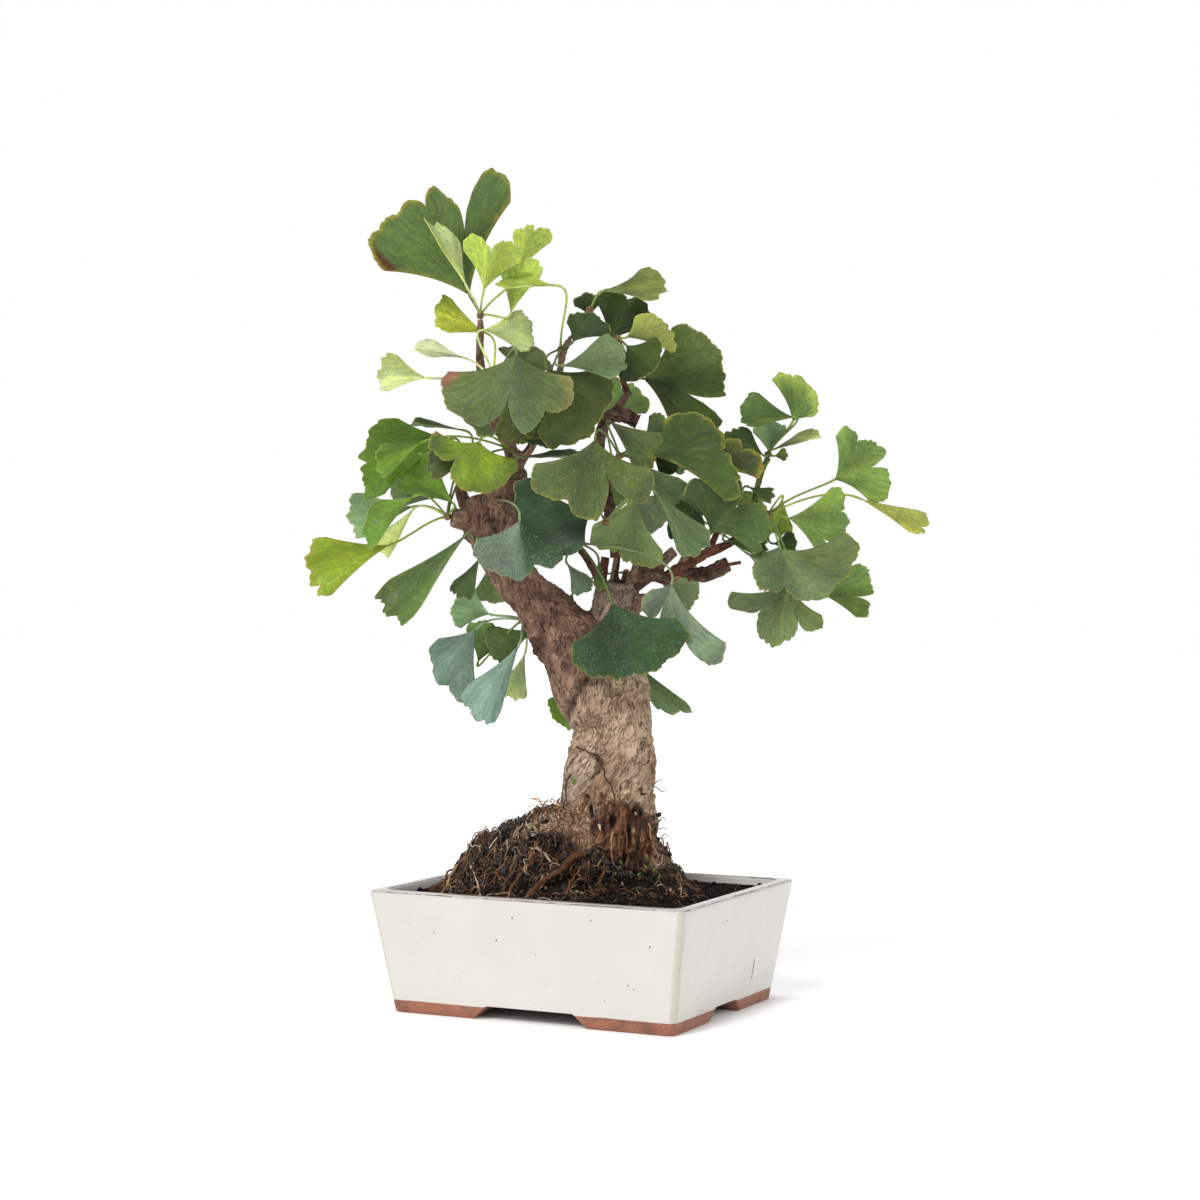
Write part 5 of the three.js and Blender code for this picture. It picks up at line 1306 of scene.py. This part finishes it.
    def add_petiole(self, made):
        length = np.linalg.norm(self.base - self.spur)
        first = self.spur + (self.base - self.spur) * 0.35 + vec(0, 0, 0.12 * length)
        second = self.base - self.along * 0.3 * length
        tip = self.base + self.along * (BLADE_START * self.size + 1.2)
        t = np.linspace(0, 1, int(np.clip(length / 2.2, 8, 30)))[:, None]
        line = self.spur * (1 - t) ** 3 + 3 * first * t * (1 - t) ** 2 + 3 * second * t**2 * (1 - t) + self.base * t**3
        line = np.concatenate([line, tip[None]])
        t = np.concatenate([t[:, 0], [1.02]])
        radii = 0.64 + 0.4 * smooth(0.12, 0.0, t) + 0.16 * smooth(0.8, 1.0, t)
        radii[-1] = 0.3
        points, faces = capped(swept(line, unit(np.gradient(line, axis=0)), radii, PETIOLE_SIDES))
        green = mix(leafy(*TONES[self.looks[0]]) * 1.12, leafy(122, 142, 70), 0.35)
        shade = np.concatenate([np.repeat(t, PETIOLE_SIDES), [0, 1]])
        tone = mix(mix(green, leafy(110, 92, 62), 0.45), green, smooth(0.0, 0.25, shade))
        made.add(points, faces, blade=vec(0, 1.0, 50), tone=tone)


def leaves():
    """Every spray as one piece, and the buds that they grow from."""
    looks = {slot: leaf_look(slot, *numbers) for slot, numbers in LEAF_LOOKS.items()}
    buds = Mesh("spur_buds")
    bud, bud_faces = ball(3)
    for number, (name, slot, spur, rows) in enumerate(SPRAYS):
        made = Mesh(name.replace("spray", "leaves"), blade=3, tone=3, marks=3)
        for row in rows:
            Leaf(row, spur).add_to(made)
        made.build(looks[slot], replaces=[name])
        scaly = 1 + 0.12 * noise(bud * vec(2.2, 2.2, 3.5) + number * 5, 2) + 0.1 * np.abs(np.sin(bud[:, 2] * 7))
        buds.add(bud * scaly[:, None] * 2.1 + vec(*spur), bud_faces)
    buds.build(plain_look("bud_scales", (98, 70, 50), (140, 104, 72), 0.9))


# ---------------------------------------------------------------- small things on the wood and the soil
SHADES = {"white": (206, 186, 160), "tan": (168, 134, 102), "rust": (128, 86, 60), "brown": (98, 72, 54),
          "dark": (58, 42, 32), "olive": (104, 100, 56)}
# Roots and straws as seen from the front: shade, radius, then points (u, z) on the mound
CREEPERS = [
    ("rust", 2.1, (1, 92), (-7, 90), (-14, 83), (-20, 79), (-26, 75), (-35, 66)),
    ("white", 0.7, (-34, 95), (-26, 92), (-19, 85), (-21, 80)),
    ("tan", 0.9, (-24, 81), (-24, 76), (-35, 66)),
    ("tan", 0.8, (-68, 88), (-76, 81), (-83, 66)),
    ("tan", 0.7, (-68, 88), (-73, 79), (-78, 66)),
    ("white", 0.7, (-68, 88), (-64, 80), (-59, 67)),
    ("brown", 1.0, (-35, 97), (-38, 91), (-44, 85), (-50, 82)),
    ("brown", 0.5, (-60, 91), (-60, 83), (-55, 77), (-47, 76)),
    ("olive", 0.7, (-5, 76), (-9, 71), (-13, 66)),
    ("tan", 0.8, (-4, 71), (0, 70)),
    ("brown", 0.9, (49, 83), (55, 80), (61, 77)),
    ("rust", 1.2, (-30, 92), (-33, 84), (-41, 74), (-44, 67)),
    ("rust", 0.9, (14, 84), (8, 76), (3, 69)),
]
# Thin roots and scraps on the trunk's front
CLINGERS = [
    ("brown", 0.6, (-4.4, 152), (2, 150), (8.4, 147), (11.3, 137), (16.6, 128), (17.8, 115)),
    ("rust", 0.6, (-3, 118), (1, 114), (5, 108)),
    ("tan", 0.5, (-14, 107), (-2, 102), (6, 96), (11, 95)),
    ("rust", 0.8, (24, 118), (23, 106), (25, 92), (24, 80)),
    ("brown", 0.7, (30, 120), (31, 108), (29, 96), (31, 82)),
    ("tan", 0.6, (16, 104), (15, 94), (17, 84)),
    ("dark", 0.5, (-8, 138), (-11, 128), (-10, 118)),
    ("rust", 0.5, (2, 124), (-2, 116), (-6, 108)),
    ("tan", 0.5, (37, 108), (39, 98), (43, 88)),
]
# Hairs and chips at the sides of the foot: u, z, how far out and how far up
HAIRS = ((41, 131, 4, 2), (42, 128, 5, -2), (43, 108, 4, 3), (42, 104, 6, 1), (44, 98, 5, 3), (43, 92, 7, 2),
         (-12, 120, -5, 2))
# Small green blades: u, z, length, lean from upright
WEEDS = [(14.5, 80, 3.5, -40), (16.5, 78.5, 3.5, 30), (18, 83, 3, 70), (21.5, 84.5, 4, -20),
         (35.5, 85.5, 5, 6), (35, 88, 3, -35), (36.5, 90, 3, 35), (27.5, 80, 2.5, -60),
         (30, 78.5, 3, 55), (32, 77, 2.5, -20), (39.5, 80, 3, 20), (42.8, 75.6, 3.5, 10),
         (-1, 67, 4, -20), (-9, 72, 3, 50)]
# heights are kept for cells of 2 mm, this many either way of the middle
CELLS_U, CELLS_V = 50, 40


def debris(wood):
    """Roots, fibres, clods, bark scraps and weeds on the mound and on the foot of the trunk."""
    rng = np.random.default_rng(12)
    scan = np.linspace(-66, 12, 157)
    half_x, half_y = half_inside(2)

    def on_mound(u, z):
        """Where the mound is met at this height, coming from the front; over the mound, the pot's front edge."""
        x, y = to_pot(u, scan)
        inside = (np.abs(x) < half_x) & (np.abs(y) < half_y)
        reached = (soil_top(x, y) >= z) & inside
        return scan[reached.argmax()] if reached.any() else scan[inside.argmax()]

    def on_front(u, z):
        """Where the wood is met, coming from the front."""
        near = wood[np.hypot(wood[:, 0] - u, wood[:, 2] - z) < 2.5]
        return near[:, 1].min() if len(near) else 0.0

    def on_either(u, z):
        return min(on_mound(u, z), on_front(u, z))

    def cell(u, v):
        return (np.clip(u // 2 + CELLS_U, 0, 2 * CELLS_U - 1).astype(int),
                np.clip(v // 2 + CELLS_V, 0, 2 * CELLS_V - 1).astype(int))

    tops = np.zeros((2 * CELLS_U, 2 * CELLS_V))
    low = wood[wood[:, 2] < 124]
    np.maximum.at(tops, cell(low[:, 0], low[:, 1]), low[:, 2])

    def crest(u, v):
        """The height of whatever lies on top, soil or root."""
        return max(ground(u, v), tops[cell(u, v)])

    roots = Mesh("fine_roots", tone=3, grain=3)

    def lay(stations, shade, sides=5, per_span=3):
        """Adds one thin root."""
        tone = colour(*SHADES[shade]) * rng.uniform(0.75, 1.15)
        points, faces = capped(swept(*stem_line(stations, per_span), sides))
        roots.add(points, faces, tone=tone, grain=vec(*stations[0][:3]))

    def wavy(stations, swing):
        return [[*(vec(*s[:3]) + rng.normal(0, swing, 3)), s[3]] for s in stations]

    for root in FINE_ROOTS:
        centres, _, radii = stem_line(root, 3)
        lay(wavy([[*c, r * 0.7] for c, r in zip(centres, radii)], 0.8), rng.choice(["rust", "brown"]), 8, 4)
    for rows, depth_at in ((CREEPERS, on_either), (CLINGERS, on_front)):
        for shade, radius, *line in rows:
            centres, _, _ = stem_line([[u, depth_at(u, z), z, radius] for u, z in line], 4)
            depth = [depth_at(c[0], c[2]) - 0.2 * radius for c in centres]
            for at in range(1, len(depth)):
                before, here = centres[at - 1], centres[at]
                reach = 1.5 * math.hypot(here[0] - before[0], here[2] - before[2]) + 0.3
                depth[at] = min(max(depth[at], depth[at - 1] - reach), depth[at - 1] + reach)
                here[2] = max(here[2], ground(here[0], depth[at]))
            taper = np.linspace(1.1, 0.6, len(centres)) * rng.uniform(0.78, 1.2, len(centres))
            lay(wavy([[c[0], d, c[2], radius * t] for c, d, t in zip(centres, depth, taper)], 0.4), shade, 9, 3)
    # threads that creep over the mound, and curls that stand off its ridge
    for number in range(860):
        curl = number % 2
        u, v = (rng.uniform(-84, -22), rng.normal(-4, 11)) if curl else (rng.normal(-24, 36), rng.normal(-14, 22))
        if rng.random() < 0.14:
            u, v = rng.uniform(34, 58), rng.normal(-8, 10)
        if abs(u) > 84 or abs(v) > 52 or crest(u, v) > 116 or (-4 < u < 32 and v > -16):
            continue
        heading, radius = rng.uniform(0, 2 * math.pi), rng.uniform(0.16, 0.42)
        count, lift = int(rng.integers(4, 8)), rng.uniform(1.0, 4.5) if curl else 0.8
        pace = 2.2 if curl else 4.0
        stations = []
        for step in range(count):
            top = crest(u, v)
            if stations and abs(top - stations[-1][2]) > 7:
                break
            arch = lift * math.sin(math.pi * step / (count - 1)) * rng.uniform(0.6, 1.2)
            stations.append([u, v, top + arch, radius * (1 - step * 0.07)])
            heading += rng.normal(0, 0.9)
            u, v = u + pace * math.cos(heading), v + pace * math.sin(heading)
        if len(stations) > 2:
            lay(stations, rng.choice(list(SHADES), p=(0.07, 0.24, 0.26, 0.26, 0.15, 0.02)))
    for u, z, out, up in HAIRS:
        v = on_front(u - math.copysign(4, out), z) + 6
        lay([[u - out, v + 2, z - up, 0.4], [u, v, z, 0.36], [u + 0.6 * out, v - 1, z + up, 0.3],
             [u + out, v - 2, z + 0.3 * up, 0.2]], "rust")
    # short threads in the hollow beside the root block and over the sunken foot
    for number in range(170):
        hollow = number % 2
        u, z = ((rng.uniform(-24, -3), rng.uniform(100, 126)) if hollow else
                (rng.uniform(-32, 34), rng.uniform(74, 97)))
        if not hollow and z > np.interp(u, *SOIL_LINE):
            continue
        heading, radius, pace = rng.uniform(0, 2 * math.pi), rng.uniform(0.2, 0.45), rng.uniform(1.4, 2.6)
        stations = []
        for step in range(5):
            stations.append([u, on_either(u, z) - 0.3 - 0.8 * math.sin(math.pi * step / 4), z, radius])
            heading += rng.normal(0, 0.6)
            u, z = u + pace * math.cos(heading), z + pace * math.sin(heading)
        if np.abs(np.diff([v for _, v, _, _ in stations])).max() < 5:
            lay(stations, rng.choice(["tan", "rust", "brown", "dark"], p=(0.14, 0.34, 0.34, 0.18)))
    roots.build(bark_look("root_skin", 0.4))

    # clods of soil held by the roots, on the mound and over the sunken foot
    clods = Mesh("mound_clods", tint=1)
    unit_points, unit_faces = ball(2)

    def clod(centre, radius):
        lump = lumpy(unit_points, 0.6, 2.7, rng.uniform(0, 90, 3)) * rng.uniform(0.5, 1.3, 3)
        clods.add(lump * radius + centre, unit_faces, tint=[rng.random() ** 2.5])

    for number in range(1000):
        u, v = rng.uniform(-84, -24), rng.normal(-4, 12)
        if number % 6 == 0:
            u, v = rng.uniform(36, 58), rng.normal(-4, 12)
        top = crest(u, v)
        if (-40 < u < 0 and rng.random() < 0.3) or top > 112 or abs(v) > 40:
            continue
        radius = 0.5 + 1.7 * rng.random() ** 2
        clod(vec(u, v, top + 0.1 * radius), radius)
    for _ in range(700):
        u, z = rng.uniform(-36, 44), rng.uniform(70, 100)
        if z <= np.interp(u, *SOIL_LINE) + rng.normal(0, 1.2):
            clod(vec(u, on_either(u, z), z), 0.4 + 0.9 * rng.random() ** 2)
    clods.build(bpy.data.materials["soil"])

    # scraps of bark and dry moss
    scraps = Mesh("bark_scraps", tone=3, grain=3)
    for number in range(110):
        if number % 3:
            u, z = rng.uniform(-4, 42), rng.uniform(80, 128)
            v = on_front(u, z)
        else:
            u, v = rng.uniform(-80, 56), rng.uniform(-34, 4)
            z = crest(u, v)
        if z > 130:
            continue
        chip = lumpy(unit_points, 0.5, 2.3, number) * vec(rng.uniform(0.4, 1.0), 0.3, rng.uniform(0.9, 2.6))
        chip[:, 1] += 0.12 * chip[:, 2] ** 2 * rng.uniform(-1, 1)
        tilt, lean = rng.normal(0, 0.5, 2)
        turn = np.array([[math.cos(tilt), 0, math.sin(tilt)], [0, 1, 0], [-math.sin(tilt), 0, math.cos(tilt)]])
        chip = chip @ turn
        chip[:, 1] += chip[:, 2] * lean
        tone = colour(*SHADES[rng.choice(["white", "tan", "rust", "brown", "dark"], p=(0.04, 0.16, 0.3, 0.28, 0.22))])
        scraps.add(chip + vec(u, v - 0.2, z), unit_faces, tone=tone, grain=vec(u, v, z))
    scraps.build(bark_look("scrap_skin", 0.5))

    weeds = Mesh("weeds")
    lying = [(u, on_either(u, z + 3) - 2, z, *rest) for u, z, *rest in WEEDS]
    for u, v, z, length, lean in [*lying, (-6, on_front(-6, 132) - 0.6, 131, 5, -15)]:
        lean = math.radians(lean)
        up, side = vec(math.sin(lean), -0.3, math.cos(lean)), vec(math.cos(lean), 0, -math.sin(lean))
        q = unit_points * vec(0.24 * length, 0.22, 0.5 * length)
        q[:, 0] *= np.sqrt(np.maximum(0, 1 - (unit_points[:, 2] * 0.98) ** 2)) * 0.5 + 0.5
        blade = q[:, :1] * side + q[:, 1:2] * vec(0, 1, 0) + (q[:, 2:] + 0.5 * length) * up
        weeds.add(blade + vec(u, v, z), unit_faces)
    weeds.build(plain_look("weed_leaf", (66, 80, 42), (122, 134, 62), 5.0))


def floor():
    """White paper that glows as painted light, except under and around the pot, where the glow fades out as a painted
    shadow.
    """
    look = Look("paper", Roughness=0.9, Specular_IOR_Level=0.1, Emission_Color=(1, 1, 1, 1))
    place = look.place()
    x, y, _ = look.axes(place)
    from_pot = [abs(axis - float(at) / MM) / reach for axis, at, reach in zip((x, y), POT_AT, (89.0, 69.0))]
    # painted light: the floor glows, and the glow fades to none under the pot as a painted shadow
    glow = look.span(look.larger(*from_pot), 0.8, 1.3, 0.0, 0.42)
    base = look.blend(look.noise(30, place), colour(248, 248, 248), colour(252, 252, 252))
    plane = placed_mesh("floor", [(-6, -6, 0), (6, -6, 0), (6, 6, 0), (-6, 6, 0)], [(0, 1, 2, 3)])
    plane.data.materials.append(look.join(Base_Color=base, Emission_Strength=glow))


camera_and_light()
pot()
soil()
wood = trunk()
twigs()
leaves()
debris(wood)
net = mesh_look()
for side in ("left", "right"):
    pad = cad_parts[f"drain_mesh_{side}"]
    pad.data.materials.clear()
    pad.data.materials.append(net)
floor()
